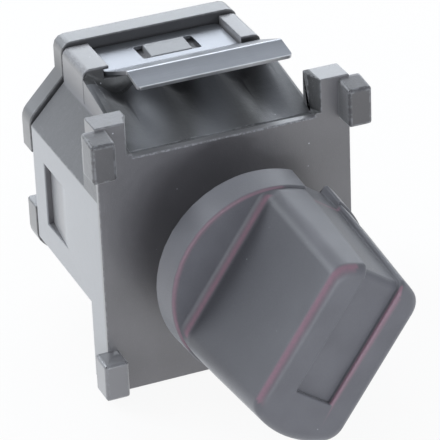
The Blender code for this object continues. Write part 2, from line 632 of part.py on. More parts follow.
def round_ring(radius, pattern, y):
    """A circle whose points lie at the same angles as those of a grip ring."""
    ring = []
    for x, _, z in pattern:
        a = math.atan2(z, x)
        ring.append((radius * math.cos(a), y, radius * math.sin(a)))
    return ring


def knob_sections():
    """All rings of the knob's skin, from the middle of its inside round to its top."""
    floor_y = KNOB_REAR_Y - SKIRT_DEPTH
    top_y = floor_y - GRIP_HEIGHT
    base_radius = SKIRT_FRONT_RADIUS - BLADE_STEP
    pattern = grip_ring(GRIP_BASE_HALF, base_radius, GRIP_CORNER, floor_y)

    def level(t):
        half = GRIP_BASE_HALF + (GRIP_TOP_HALF - GRIP_BASE_HALF) * t
        radius = base_radius + (GRIP_END_RADIUS - base_radius) * t
        return half, radius

    rings = []
    inner_top_y = top_y + KNOB_WALL + POINTER_SLOT_DEPTH
    inner_t = (floor_y - inner_top_y) / GRIP_HEIGHT
    half, radius = level(inner_t)
    rings.append(grip_ring(half - KNOB_WALL, radius - KNOB_WALL - POINTER_END_DEPTH, GRIP_CORNER / 2,
                           inner_top_y))
    inner_floor_y = floor_y + KNOB_WALL
    half, radius = level(0.0)
    rings.append(grip_ring(half - KNOB_WALL, radius - KNOB_WALL - POINTER_END_DEPTH, GRIP_CORNER / 2,
                           inner_floor_y))
    rings.append(round_ring(SKIRT_FRONT_RADIUS - KNOB_WALL, pattern, inner_floor_y))
    rings.append(round_ring(SKIRT_REAR_RADIUS - KNOB_WALL, pattern, KNOB_REAR_Y))
    rings.append(round_ring(SKIRT_REAR_RADIUS, pattern, KNOB_REAR_Y))
    for k in range(ARC_STEPS + 1):
        a = math.pi / 2 * k / ARC_STEPS
        rings.append(round_ring(SKIRT_FRONT_RADIUS - SKIRT_EDGE * (1 - math.cos(a)), pattern,
                                floor_y + SKIRT_EDGE * (1 - math.sin(a))))
    for k in range(ARC_STEPS + 1):
        a = math.pi / 2 * k / ARC_STEPS
        lift = GRIP_FOOT_FILLET * (1 - math.cos(a))
        half, radius = level(lift / GRIP_HEIGHT)
        spread = GRIP_FOOT_FILLET * (1 - math.sin(a))
        end = min(radius + spread * BLADE_STEP / GRIP_FOOT_FILLET,
                  SKIRT_FRONT_RADIUS - SKIRT_EDGE - SKIRT_LEDGE)
        rings.append(grip_ring(half + spread, end, GRIP_CORNER, floor_y - lift))
    start = 1 - GRIP_TOP_ROUNDING / GRIP_HEIGHT
    rings.append(grip_ring(*level(start / 2), GRIP_CORNER, floor_y - GRIP_HEIGHT * start / 2))
    for k in range(ARC_STEPS + 1):
        a = math.pi / 2 * k / ARC_STEPS
        half, radius = level(start)
        rings.append(grip_ring(half - GRIP_TOP_ROUNDING * (1 - math.cos(a)),
                               radius - GRIP_END_ROUNDING * (1 - math.cos(a)), GRIP_CORNER,
                               floor_y - GRIP_HEIGHT * start - GRIP_TOP_ROUNDING * math.sin(a)))
    return rings


def make_knob(mat):
    bm = bmesh.new()
    rows = [[bm.verts.new(p) for p in ring] for ring in knob_sections()]
    bm.faces.new(rows[0])
    bm.faces.new(rows[-1])
    for near, far in zip(rows, rows[1:]):
        for i in range(len(near)):
            j = (i + 1) % len(near)
            bm.faces.new((near[i], near[j], far[j], far[i]))
    knob = add_object("knob", bm, mat, 28)

    floor_y = KNOB_REAR_Y - SKIRT_DEPTH
    top_y = floor_y - GRIP_HEIGHT
    inner_top_y = top_y + KNOB_WALL + POINTER_SLOT_DEPTH
    hub_rear = KNOB_REAR_Y + HUB_REACH
    join(knob, rod("hub_form", HUB_RADIUS, (0, hub_rear, 0), (0, inner_top_y - KNOB_WALL / 2, 0)))
    bore = SPINDLE_RADIUS + SEAT_GAP
    flat = SPINDLE_FLAT + SEAT_GAP + GRIP_SPRING_THICKNESS + SEAT_GAP
    shoulder = SPINDLE_FRONT_Y + KNOB_FLAT_LENGTH
    cut(knob, rod("hub_bore_round", bore, (0, hub_rear + OVERRUN, 0), (0, shoulder, 0), segments=32))
    cut(knob, flatted_rod("hub_bore_flat", bore, flat, SPINDLE_FRONT_Y - SEAT_GAP, shoulder + OVERRUN / 2))
    key_half = GRIP_SPRING_WIDTH / 2 + SEAT_GAP
    key_middle = SPINDLE_FRONT_Y + KNOB_FLAT_LENGTH / 2
    key_reach = GRIP_SPRING_LENGTH / 2 + SEAT_GAP
    cut(knob, box("grip_spring_keyway", (-key_half, key_middle - key_reach, 0.0),
                  (key_half, key_middle + key_reach, flat)))

    # The pointer slot: along the top of the grip, down its end and through the skirt, which is
    # thickened inside to close the slot's back.
    cut(knob, box("pointer_slot_top", (-POINTER_SLOT_HALF, top_y - OVERRUN, -POINTER_SLOT_TAIL),
                  (POINTER_SLOT_HALF, top_y + POINTER_SLOT_DEPTH, SKIRT_REAR_RADIUS)))
    base_radius = SKIRT_FRONT_RADIUS - BLADE_STEP
    low = base_radius - POINTER_END_DEPTH
    high = GRIP_END_RADIUS - POINTER_END_DEPTH
    half = POINTER_SLOT_HALF + KNOB_WALL
    join(knob, box("pointer_backing", (-half, floor_y + KNOB_WALL / 2, low - POINTER_BACKING),
                   (half, KNOB_REAR_Y, SKIRT_FRONT_RADIUS - KNOB_WALL / 2)))
    outside = SKIRT_REAR_RADIUS + OVERRUN
    end = [(KNOB_REAR_Y + OVERRUN, low), (KNOB_REAR_Y + OVERRUN, outside), (top_y - OVERRUN, outside),
           (top_y - OVERRUN, high), (floor_y, low)]
    cut(knob, prism("pointer_slot_end", end, 'X', -POINTER_SLOT_HALF, POINTER_SLOT_HALF))
    return knob


def make_spindle(mat):
    bm = bmesh.new()
    groove_front = PLATE_WALL + SEAT_GAP + WASHER_THICKNESS
    groove_rear = groove_front + RING_THICKNESS + 2 * SEAT_GAP
    profile = [(0.0, SPINDLE_FRONT_Y), (SPINDLE_RADIUS - SPINDLE_CHAMFER, SPINDLE_FRONT_Y),
               (SPINDLE_RADIUS, SPINDLE_FRONT_Y + SPINDLE_CHAMFER), (SPINDLE_RADIUS, groove_front),
               (RING_GROOVE_RADIUS, groove_front), (RING_GROOVE_RADIUS, groove_rear),
               (SPINDLE_RADIUS, groove_rear), (SPINDLE_RADIUS, SPINDLE_REAR_Y), (0.0, SPINDLE_REAR_Y)]
    verts = [bm.verts.new((r, y, 0.0)) for r, y in profile]
    edges = [bm.edges.new((a, b)) for a, b in zip(verts, verts[1:])]
    bmesh.ops.spin(bm, geom=verts + edges, cent=(0, 0, 0), axis=(0, 1, 0), angle=2 * math.pi, steps=32,
                   use_merge=True)
    bmesh.ops.remove_doubles(bm, verts=bm.verts[:], dist=0.00001)
    spindle = add_object("spindle", bm, mat, 30)
    reach = SPINDLE_RADIUS + OVERRUN
    cut(spindle, box("spindle_flat_front", (-reach, SPINDLE_FRONT_Y - OVERRUN, SPINDLE_FLAT),
                     (reach, SPINDLE_FRONT_Y + KNOB_FLAT_LENGTH, reach)))
    cut(spindle, box("spindle_flat_rear", (-reach, ROTOR_HUB_FRONT_Y, SPINDLE_FLAT),
                     (reach, SPINDLE_REAR_Y + OVERRUN, reach)))
    return spindle


def make_rotor(mat):
    rotor = rod("rotor", ROTOR_RADIUS, (0, ROTOR_FRONT_Y, 0), (0, ROTOR_REAR_Y, 0), mat, segments=64)
    join(rotor, rod("rotor_hub", ROTOR_HUB_RADIUS, (0, ROTOR_HUB_FRONT_Y, 0),
                    (0, ROTOR_FRONT_Y + OVERRUN, 0)))
    cut(rotor, flatted_rod("rotor_bore", SPINDLE_RADIUS + SEAT_GAP, SPINDLE_FLAT + SEAT_GAP,
                           ROTOR_HUB_FRONT_Y - OVERRUN, SPINDLE_REAR_Y + SEAT_GAP))
    for side, word in ((-1, "a"), (1, "b")):
        cut(rotor, rod("ball_pocket_" + word, BALL_RADIUS + SEAT_GAP, (side * BALL_POCKET_FLOOR, BALL_Y, 0),
                       (side * (ROTOR_RADIUS + OVERRUN), BALL_Y, 0), segments=24))
        w = BRIDGE_WIDTH / 2 + SEAT_GAP
        zs = sorted((side * (BRIDGE_RADIUS - BRIDGE_LENGTH / 2 - SEAT_GAP),
                     side * (BRIDGE_RADIUS + BRIDGE_LENGTH / 2 + SEAT_GAP)))
        cut(rotor, box("bridge_slot_" + word, (-w, ROTOR_REAR_Y - BRIDGE_SLOT_DEPTH, zs[0]),
                       (w, ROTOR_REAR_Y + OVERRUN, zs[1])))
        cut(rotor, rod("bridge_spring_pocket_" + word, SPRING_RADIUS + SPRING_WIRE / 2 + SEAT_GAP,
                       (0, ROTOR_REAR_Y - BRIDGE_SLOT_DEPTH - BRIDGE_SPRING_DEPTH, side * BRIDGE_RADIUS),
                       (0, ROTOR_REAR_Y, side * BRIDGE_RADIUS), segments=24))
    return rotor


def make_ball(name, side, mat):
    bm = bmesh.new()
    reach = CHAMBER_RADIUS - RUNNING_GAP - BALL_RADIUS
    bmesh.ops.create_uvsphere(bm, u_segments=20, v_segments=12, radius=BALL_RADIUS,
                              matrix=Matrix.Translation((side * reach, BALL_Y, 0)))
    return add_object(name, bm, mat, 60)


def make_spring(name, start, end, mat):
    """A coil spring between two points, swept as a wire round its own axis."""
    start = Vector(start)
    end = Vector(end)
    length = (end - start).length - SPRING_WIRE
    steps = 12 * SPRING_TURNS
    turn = (end - start).to_track_quat('Z', 'Y').to_matrix()
    sides = 6
    rows = []
    bm = bmesh.new()
    for i in range(steps + 1):
        a = 2 * math.pi * SPRING_TURNS * i / steps
        ease = min(1.0, max(0.0, (i - 6) / (steps - 12)))
        height = SPRING_WIRE / 2 + length * ease
        # The end turns lie nearly flat, with a wire's thickness between one turn and the next.
        radial = Vector((math.cos(a), math.sin(a), 0.0))
        centre = radial * SPRING_RADIUS + Vector((0, 0, height))
        row = []
        for k in range(sides):
            b = 2 * math.pi * k / sides
            point = centre + (radial * math.cos(b) + Vector((0, 0, 1)) * math.sin(b)) * SPRING_WIRE / 2
            row.append(bm.verts.new(start + turn @ point))
        rows.append(row)
    bm.faces.new(rows[0])
    bm.faces.new(rows[-1])
    for near, far in zip(rows, rows[1:]):
        for i in range(sides):
            j = (i + 1) % sides
            bm.faces.new((near[i], near[j], far[j], far[i]))
    return add_object(name, bm, mat, 60)


def make_bridge(name, side, mat):
    """A contact bridge: a flat bar with a rounded contact bump at each end."""
    front = ROTOR_REAR_Y - BRIDGE_SLOT_DEPTH / 2
    rear = front + BRIDGE_THICKNESS
    zs = sorted((side * (BRIDGE_RADIUS - BRIDGE_LENGTH / 2), side * (BRIDGE_RADIUS + BRIDGE_LENGTH / 2)))
    bridge = box(name, (-BRIDGE_WIDTH / 2, front, zs[0]), (BRIDGE_WIDTH / 2, rear, zs[1]), mat,
                 bevel=BRIDGE_EDGE)
    for k, z in enumerate((zs[0] + BUMP_INSET, zs[1] - BUMP_INSET)):
        join(bridge, rod("%s_bump_%d" % (name, k), BUMP_FOOT_RADIUS, (0, rear - BRIDGE_THICKNESS / 2, z),
                         (0, pads_front() - RUNNING_GAP, z), segments=16, end_radius=BUMP_TIP_RADIUS))
    return bridge


def make_washer(mat):
    front = PLATE_WALL + SEAT_GAP
    washer = rod("thrust_washer", WASHER_RADIUS, (0, front, 0), (0, front + WASHER_THICKNESS, 0), mat,
                 segments=36)
    cut(washer, rod("washer_hole", SPINDLE_RADIUS + SEAT_GAP, (0, front - OVERRUN, 0),
                    (0, front + WASHER_THICKNESS + OVERRUN, 0), segments=32))
    return washer


def make_retaining_ring(mat):
    """Open spring ring that snaps into the spindle's groove."""
    front = PLATE_WALL + WASHER_THICKNESS + 2 * SEAT_GAP
    inner = RING_GROOVE_RADIUS + SEAT_GAP
    half_open = math.radians(RING_OPENING / 2)
    steps = 28
    bm = bmesh.new()
    rows = []
    for k in range(steps + 1):
        a = half_open + (2 * math.pi - 2 * half_open) * k / steps
        row = []
        for r, y in ((inner, front), (RING_RADIUS, front), (RING_RADIUS, front + RING_THICKNESS),
                     (inner, front + RING_THICKNESS)):
            row.append(bm.verts.new((r * math.sin(a), y, r * math.cos(a))))
        rows.append(row)
    bm.faces.new(rows[0])
    bm.faces.new(rows[-1])
    for near, far in zip(rows, rows[1:]):
        for i in range(4):
            j = (i + 1) % 4
            bm.faces.new((near[i], near[j], far[j], far[i]))
    return add_object("spindle_circlip", bm, mat)


def make_grip_spring(mat):
    """Leaf that wedges the knob's hub on the flat of the spindle."""
    low = SPINDLE_FLAT + SEAT_GAP
    y = SPINDLE_FRONT_Y + KNOB_FLAT_LENGTH / 2
    half = GRIP_SPRING_WIDTH / 2
    return box("knob_grip_spring", (-half, y - GRIP_SPRING_LENGTH / 2, low),
               (half, y + GRIP_SPRING_LENGTH / 2, low + GRIP_SPRING_THICKNESS), mat)


def main():
    clear_scene()
    body_plastic = material("body_plastic", (0.085, 0.085, 0.09), 0.5)
    rear_plastic = material("rear_plastic", (0.08, 0.08, 0.085), 0.5)
    knob_plastic = material("knob_plastic", (0.095, 0.095, 0.1), 0.45)
    steel = material("clip_steel", (0.62, 0.62, 0.64), 0.28, 1.0)
    spring_steel = material("spring_steel", (0.5, 0.5, 0.52), 0.3, 1.0)
    brass = material("terminal_brass", (0.72, 0.56, 0.3), 0.3, 1.0)
    copper = material("bridge_copper", (0.72, 0.4, 0.26), 0.3, 1.0)
    nylon = material("rotor_nylon", (0.75, 0.73, 0.66), 0.5)

    make_housing(body_plastic)
    make_rear_socket(rear_plastic)
    make_clip(steel)
    for name, x, z in terminal_places():
        make_terminal(name, x, z, brass)

    # Everything that turns hangs on one empty on the knob's axis, modelled pointing straight up.
    axis = bpy.data.objects.new("knob_axis", None)
    bpy.context.scene.collection.objects.link(axis)
    turning = [make_knob(knob_plastic), make_spindle(steel), make_rotor(nylon), make_washer(steel),
               make_retaining_ring(spring_steel), make_grip_spring(spring_steel)]
    ball_back = CHAMBER_RADIUS - RUNNING_GAP - 2 * BALL_RADIUS - SEAT_GAP
    for side, word in ((-1, "a"), (1, "b")):
        turning.append(make_ball("detent_ball_" + word, side, steel))
        turning.append(make_spring("detent_spring_" + word,
                                   (side * (BALL_POCKET_FLOOR + SEAT_GAP), BALL_Y, 0),
                                   (side * ball_back, BALL_Y, 0), spring_steel))
        turning.append(make_bridge("contact_bridge_" + word, side, copper))
        pocket_floor = ROTOR_REAR_Y - BRIDGE_SLOT_DEPTH - BRIDGE_SPRING_DEPTH
        turning.append(make_spring("contact_spring_" + word,
                                   (0, pocket_floor + SEAT_GAP, side * BRIDGE_RADIUS),
                                   (0, ROTOR_REAR_Y - BRIDGE_SLOT_DEPTH / 2 - SEAT_GAP, side * BRIDGE_RADIUS),
                                   spring_steel))
    for obj in turning:
        for mod in obj.modifiers:
            mod.object.parent = axis
        obj.parent = axis
    axis.rotation_euler = (0.0, math.radians(POINTER_ANGLE), 0.0)


main()
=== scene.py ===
# %% [markdown]
# # A rotary fan switch of a car dashboard
#
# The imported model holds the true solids: housing, rear moulding, spring clip, knob and the works
# inside. This lesson dresses them. The plain solids are swapped for finer meshes where a viewer
# sees them, each surface gets a material made of nodes, and a small studio is set up round them.

# %% The frame
import functools
import json
import math

import bmesh
import bpy
from mathutils import Matrix, Vector


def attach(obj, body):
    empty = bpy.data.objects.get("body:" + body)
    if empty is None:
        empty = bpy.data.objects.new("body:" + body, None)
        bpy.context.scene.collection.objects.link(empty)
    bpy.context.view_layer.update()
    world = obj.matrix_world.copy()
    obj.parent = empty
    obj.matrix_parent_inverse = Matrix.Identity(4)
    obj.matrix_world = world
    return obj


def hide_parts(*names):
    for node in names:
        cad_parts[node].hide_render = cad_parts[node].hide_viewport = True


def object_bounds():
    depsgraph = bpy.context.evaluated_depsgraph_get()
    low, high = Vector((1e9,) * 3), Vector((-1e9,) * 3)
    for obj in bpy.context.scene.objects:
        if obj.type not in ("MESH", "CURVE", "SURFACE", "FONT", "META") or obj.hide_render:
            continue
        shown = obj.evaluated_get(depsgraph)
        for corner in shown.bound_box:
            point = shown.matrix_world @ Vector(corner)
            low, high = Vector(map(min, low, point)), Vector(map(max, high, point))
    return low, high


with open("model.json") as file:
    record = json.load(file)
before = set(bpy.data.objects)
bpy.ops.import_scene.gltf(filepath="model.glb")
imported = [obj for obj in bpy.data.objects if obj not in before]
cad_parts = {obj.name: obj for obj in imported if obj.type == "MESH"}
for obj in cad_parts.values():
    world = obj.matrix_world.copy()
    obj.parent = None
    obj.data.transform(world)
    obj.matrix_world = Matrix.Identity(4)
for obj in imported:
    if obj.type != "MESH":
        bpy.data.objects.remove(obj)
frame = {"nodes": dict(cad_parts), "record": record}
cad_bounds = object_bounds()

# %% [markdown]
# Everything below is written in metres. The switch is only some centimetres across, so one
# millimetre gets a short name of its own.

mm = 0.001
nodes = frame["nodes"]
print("frame:", len(nodes), "nodes,", [round(v * 1000, 1) for v in cad_bounds[1] - cad_bounds[0]], "mm")

# %% [markdown]
# ## The camera
#
# The photograph was taken from the switch's left, a little above it, with a long lens. Its pose
# was found by fitting the plate's and the body's corners: a bearing, a height, a slight roll and
# a distance. The lens follows from the focal length in pixels of a frame 440 pixels wide.

# %% The camera
IMAGE_WIDTH = 440
FOCAL_PIXELS = 3094.7
BEARING = math.radians(-21.672)
ELEVATION = math.radians(28.285)
ROLL = math.radians(-2.452)
FRAME_OFFSET = Vector((1.404 * mm, 2.569 * mm, 480.706 * mm))  # the origin, seen from the camera


def make_camera():
    back = Vector((math.sin(BEARING) * math.cos(ELEVATION), -math.cos(BEARING) * math.cos(ELEVATION),
                   math.sin(ELEVATION)))
    up = (Vector((0, 0, 1)) - back * back.z).normalized()
    right = up.cross(back)
    turned_right = right * math.cos(ROLL) + up * math.sin(ROLL)
    turned_up = up * math.cos(ROLL) - right * math.sin(ROLL)
    place = back * FRAME_OFFSET.z - turned_right * FRAME_OFFSET.x + turned_up * FRAME_OFFSET.y
    data = bpy.data.cameras.new("photo_camera")
    data.sensor_width = 36.0
    data.lens = FOCAL_PIXELS / IMAGE_WIDTH * data.sensor_width
    data.clip_start = 0.01
    camera = bpy.data.objects.new("photo_camera", data)
    turn = Matrix((turned_right, turned_up, back)).transposed().to_4x4()
    camera.matrix_world = Matrix.Translation(place) @ turn
    bpy.context.scene.collection.objects.link(camera)
    bpy.context.scene.camera = camera
    return camera


camera = make_camera()
print("camera:", [round(v, 4) for v in camera.location], "lens", round(camera.data.lens, 1), "mm")

# %% [markdown]
# ## Shader maths
#
# A pattern in a material is a sum of simple ones. Written with nodes alone it is hard to read, so
# a small class wraps a socket, and plus, minus and times on it add the Math nodes. A second class
# starts a material and has one method that adds any other node.

# %% A socket that can be reckoned with
class Term:
    def __init__(self, finish, socket):
        self.finish = finish
        self.socket = socket

    def math(self, operation, *others, clamp=False):
        values = dict(enumerate((self,) + others))
        return self.finish.add("ShaderNodeMath", {"operation": operation, "use_clamp": clamp}, values)

    def __add__(self, other):
        return self.math('ADD', other)

    def __mul__(self, other):
        return self.math('MULTIPLY', other)

    def __sub__(self, other):
        return self.math('SUBTRACT', other)

    def __rsub__(self, other):
        return (self * -1.0).math('ADD', other)

    def at_most(self, other):
        return self.math('MINIMUM', other)

    def at_least(self, other):
        return self.math('MAXIMUM', other)

    def between(self, low, high):
        """0 below low, 1 above high, and a soft step from one to the other."""
        return self.finish.add("ShaderNodeMapRange", {"interpolation_type": 'SMOOTHSTEP'},
                               {"Value": self, "From Min": low, "From Max": high})

    def inside(self, low, high, soft=0.1):
        """1 from low to high, 0 outside, with soft steps."""
        return self.between(low - soft, low) * (1 - self.between(high, high + soft))

    __radd__ = __add__
    __rmul__ = __mul__


# %% A material with one method for its nodes
class Finish:
    def __init__(self, name, **sockets):
        self.material = bpy.data.materials.new(name)
        self.material.use_nodes = True
        self.tree = self.material.node_tree
        self.shader = self.tree.nodes["Principled BSDF"]
        for key, value in sockets.items():
            self.set(key.replace("_", " "), value)

    def connect(self, socket, value):
        if isinstance(value, Term):
            self.tree.links.new(value.socket, socket)
        elif hasattr(value, "__len__") and len(value) == 3 and socket.type == 'RGBA':
            socket.default_value = (*value, 1.0)
        else:
            socket.default_value = value

    def set(self, name, value):
        self.connect(self.shader.inputs[name], value)

    def add(self, kind, settings=None, sockets=None, out=0):
        node = self.tree.nodes.new(kind)
        for key, value in (settings or {}).items():
            setattr(node, key, value)
        for key, value in (sockets or {}).items():
            self.connect(node.inputs[key], value)
        return Term(self, node.outputs[out])

    def place(self, scale=(1, 1, 1), turn=(0, 0, 0)):
        """The piece's own coordinates in millimetres, stretched and turned."""
        here = self.add("ShaderNodeTexCoord", out="Object")
        size = [s / mm for s in scale]
        return self.add("ShaderNodeMapping", {}, {"Vector": here, "Scale": size, "Rotation": turn})

    def axes(self, where):
        """The three coordinates of a place, each a Term of its own."""
        return [self.add("ShaderNodeSeparateXYZ", {}, {"Vector": where}, out=k) for k in range(3)]

    def noise(self, where, scale, detail=3.0, roughness=0.5, distortion=0.0):
        return self.add("ShaderNodeTexNoise", {}, {"Vector": where, "Scale": scale, "Detail": detail,
                                                   "Roughness": roughness, "Distortion": distortion})

    def specks(self, where, scale, reach):
        """Small round dots: close to the middle of a cell, in cells picked by their colour."""
        nearest = self.add("ShaderNodeTexVoronoi", {}, {"Vector": where, "Scale": scale})
        pick = self.add("ShaderNodeTexVoronoi", {}, {"Vector": where, "Scale": scale}, out="Color")
        red = self.add("ShaderNodeSeparateColor", {}, {"Color": pick})
        return (1 - nearest.between(reach * 0.4, reach)) * red.between(0.8, 0.95)

    def mix(self, share, first, second):
        node = self.tree.nodes.new("ShaderNodeMix")
        node.data_type = 'RGBA'
        self.connect(node.inputs["Factor"], share)
        for key, value in (("A", first), ("B", second)):
            socket = [s for s in node.inputs if s.name == key and s.type == 'RGBA'][0]
            self.connect(socket, value)
        return Term(self, [s for s in node.outputs if s.type == 'RGBA'][0])

    def bump(self, *layers):
        """Heights in millimetres, one on the other."""
        normal = None
        for height, strength in layers:
            sockets = {"Height": height, "Distance": mm, "Strength": strength}
            if normal is not None:
                sockets["Normal"] = normal
            normal = self.add("ShaderNodeBump", {}, sockets)
        self.set("Normal", normal)


print("shader helpers ready")

# %% [markdown]
# ## Dark moulded plastic
#
# The housing is a glass-filled nylon, nearly black, whose skin scatters light from low angles: the
# faces turned to the camera look dark, and the walls seen from the side look pale. A plain
# dielectric with a thin rough coat and some sheen does much the same from every side. Some faces are
# duller than that gives, and masks made from the piece's own coordinates take their shine away. Where
# the light falls otherwise than that gives, the same masks paint it into the colour: painted shade in
# the flutes of the slope, at the rails' ends under the clip, in the right ear, on the corner slopes and
# on the upper stop blocks, painted highlights on the flutes and along the notch's edge, and painted
# light on the side walls and the lower stop blocks. The peg in the clip's window is paler. On top lie
# the traces of handling: lighter edges, fine scratches and dust.

# %% The plastics
EDGE_LAYER = "edge_wear_and_highlight"  # 1 on faces that lie on a rounded edge, 0 elsewhere; on the knob, per point, the share of painted highlight
POINTER_ANGLE = math.radians(35)  # how far the knob is turned from straight up
FLUTE_PITCH = 11.1  # millimetres from one flute of the slope to the next


def edge_share(finish):
    return finish.add("ShaderNodeAttribute", {"attribute_name": EDGE_LAYER}, {}, out="Fac")


def flute_highlight_bands(x, y):
    """Painted highlight bands on the slope: bright from each flute's left side, fading towards the next
    flute.
    """
    turn = ((x - y * 0.4) * (1 / FLUTE_PITCH) + 1.65).math('FRACT')
    return turn.between(0.1, 0.42) * (1 - turn.between(0.45, 1.0))


def housing_regions(finish, where):
    """Masks for the housing's faces, from the coordinates in millimetres."""
    x, y, z = finish.axes(where)
    across = x.math('ABSOLUTE')
    behind_face = y.between(0.6, 1.0)  # the plate's face lies at y = 0
    before_face = 1 - y.between(-0.3, -0.1)
    slope_left = y * 0.0254 - 15.49  # the slope's left edge runs a little askew
    on_slope = (x - slope_left).between(0.03, 0.08) * (1 - x.between(15.85, 15.9))
    return {
        # the fluted slope: its colour is replaced by painted shade and painted highlight bands
        "slope": on_slope * y.inside(1.4, 20.8) * z.between(16.5, 17.4),
        "highlight_share": flute_highlight_bands(x, y),
        # the inside wall of the right ear: painted shade
        "ear_inside": x.inside(15.0, 16.15, 0.02) * y.inside(0.06, 4.4, 0.04) * z.between(17.4, 17.6),
        "ear_top": (1 - x.between(-15.0, -14.9)) * z.between(23.2, 23.35) * (1 - y.between(4.6, 4.8)),
        # the rails' front ends and the slope's end under the clip's lip: painted shadow
        "rail_end": on_slope * y.inside(19.9, 21.4, 0.06) * z.inside(17.0, 22.3, 0.15),
        # the top edge of the plate's notch: a painted highlight, broken into patches like wear
        "notch_edge": (z.inside(17.05, 17.4, 0.05) * (1 - y.between(0.15, 0.35))
                       * (1 - across.between(15.0, 15.1))
                       * finish.noise(where, 2.2, 3.0).between(0.44, 0.62)),
        "peg": x.inside(-3.0, 5.2) * y.inside(23.2, 28.2) * z.between(21.2, 21.4),
        # the upper stop blocks: painted shade on their tops and sides
        "upper_block": before_face * z.between(0.0, 1.0),
        # the lower stop blocks: painted light, as bounced from the floor in front
        "lower_block": before_face * (1 - z.between(-1.0, 0.0)),
        # the chamfered corners of the body: painted shade
        "corner": behind_face * across.between(15.0, 15.3) * z.inside(10.55, 17.2, 0.05),
        # the body's side walls: painted light, paler than the coat and sheen make them
        "side_wall": across.between(20.7, 20.9) * (1 - z.between(10.4, 10.5)) * behind_face,
    }


# Which colour each region takes over the plain plastic, and how much of it. All but the peg's are painted
# shade or painted light.
HOUSING_TINTS = [
    ("ear_inside", 1.0, (0.014, 0.014, 0.015)),
    ("rail_end", 1.0, (0.014, 0.014, 0.015)),
    ("peg", 0.8, (0.19, 0.195, 0.21)),
    ("upper_block", 0.7, (0.028, 0.026, 0.029)),
    ("notch_edge", 0.8, (0.26, 0.26, 0.28)),
    ("corner", 0.75, (0.024, 0.024, 0.027)),
    ("side_wall", 0.8, (0.23, 0.24, 0.26)),
    ("lower_block", 0.9, (0.16, 0.155, 0.165)),
]
# How much of the coat's shine each region lacks.
HOUSING_DULL = [("slope", 0.75), ("upper_block", 0.8), ("corner", 0.9), ("ear_inside", 1.0), ("ear_top", 0.7),
                ("rail_end", 1.0)]


def body_plastic():
    finish = Finish("body_plastic", Roughness=0.42, Specular_IOR_Level=1.0, Coat_Weight=1.0,
                    Coat_Roughness=0.3, Sheen_Weight=0.6, Sheen_Roughness=0.45)
    where = finish.place()
    region = housing_regions(finish, where)
    cloud = finish.noise(where, 0.12, 3.0)
    grain = finish.noise(where, 6.0, 2.0)
    scratches = finish.noise(finish.place((4.0, 0.25, 1.0), (0, 0, math.radians(18))), 2.0, 2.0)
    lines = scratches.between(0.62, 0.74)
    dust = finish.specks(where, 0.5, 0.08)
    wear = edge_share(finish) * finish.noise(where, 1.1, 3.0).between(0.42, 0.62)
    color = finish.mix(cloud.between(0.3, 0.7), (0.074, 0.069, 0.076), (0.094, 0.088, 0.096))
    color = finish.mix(grain.between(0.35, 0.7) * 0.3, color, (0.125, 0.115, 0.125))
    # painted shade in the flutes, painted highlight bands on their left sides
    flute_shade_and_highlight = finish.mix(region["highlight_share"], (0.012, 0.012, 0.014), (0.14, 0.144, 0.158))
    color = finish.mix(region["slope"], color, flute_shade_and_highlight)
    for name, share, tint in HOUSING_TINTS:
        color = finish.mix(region[name] * share, color, tint)
    color = finish.mix(lines * 0.3, color, (0.18, 0.175, 0.185))
    color = finish.mix(wear * 0.55, color, (0.22, 0.22, 0.235))
    color = finish.mix(dust, color, (0.55, 0.56, 0.6))
    dull = functools.reduce(Term.at_least, [region[name] * share for name, share in HOUSING_DULL])
    finish.set("Base Color", color)
    finish.set("Coat Weight", 1.0 - dull)
    between_highlights = region["slope"] * (1 - region["highlight_share"])
    finish.set("Roughness", 0.40 + grain * 0.10 + lines * 0.05 + between_highlights * 0.3)
    finish.bump((grain, 0.10), (finish.noise(where, 0.7, 2.0), 0.05))
    return finish.material


def rear_plastic():
    finish = Finish("rear_plastic", Roughness=0.42, Specular_IOR_Level=1.0, Coat_Weight=1.0,
                    Coat_Roughness=0.3, Sheen_Weight=0.35, Sheen_Roughness=0.45)
    where = finish.place()
    cloud = finish.noise(where, 0.2, 3.0)
    grain = finish.noise(where, 6.0, 2.0)
    wear = edge_share(finish) * finish.noise(where, 0.9, 3.0).between(0.45, 0.65)
    color = finish.mix(cloud.between(0.3, 0.7), (0.050, 0.049, 0.052), (0.062, 0.060, 0.064))
    color = finish.mix(wear * 0.4, color, (0.2, 0.2, 0.21))
    finish.set("Base Color", color)
    finish.set("Roughness", 0.40 + grain * 0.10)
    finish.bump((grain, 0.10))
    return finish.material


def knob_plastic():
    finish = Finish("knob_plastic", Roughness=0.42, Specular_IOR_Level=0.4, Coat_Weight=0.15,
                    Coat_Roughness=0.35, Sheen_Weight=0.22, Sheen_Roughness=0.5)
    where = finish.place()
    x, y = finish.axes(finish.place(turn=(0, -POINTER_ANGLE, 0)))[:2]  # along the grip as if upright
    # painted shade on the grip's left flat side
    shaded_flat_side = (1 - x.between(-8.6, -7.6)) * (1 - y.between(-18.2, -17.2)) * y.between(-40.2, -38.8)
    cloud = finish.noise(where, 0.15, 2.0)
    grain = finish.noise(where, 9.0, 2.0)
    dust = finish.specks(where, 0.55, 0.07)
    # painted highlight: a mauve tint on the long roundings
    highlight_share = edge_share(finish) * (0.55 + finish.noise(where, 2.2, 3.0) * 0.7)
    color = finish.mix(cloud.between(0.3, 0.7), (0.102, 0.100, 0.113), (0.120, 0.118, 0.132))
    color = finish.mix(shaded_flat_side * 0.8, color, (0.034, 0.034, 0.042))
    color = finish.mix(grain.between(0.4, 0.75) * 0.3, color, (0.16, 0.158, 0.172))
    color = finish.mix(highlight_share.at_most(1.0), color, (0.25, 0.14, 0.178))
    color = finish.mix(dust * 0.8, color, (0.45, 0.45, 0.47))
    finish.set("Base Color", color)
    finish.set("Roughness", 0.38 + grain * 0.12)
    finish.bump((grain, 0.08))
    return finish.material


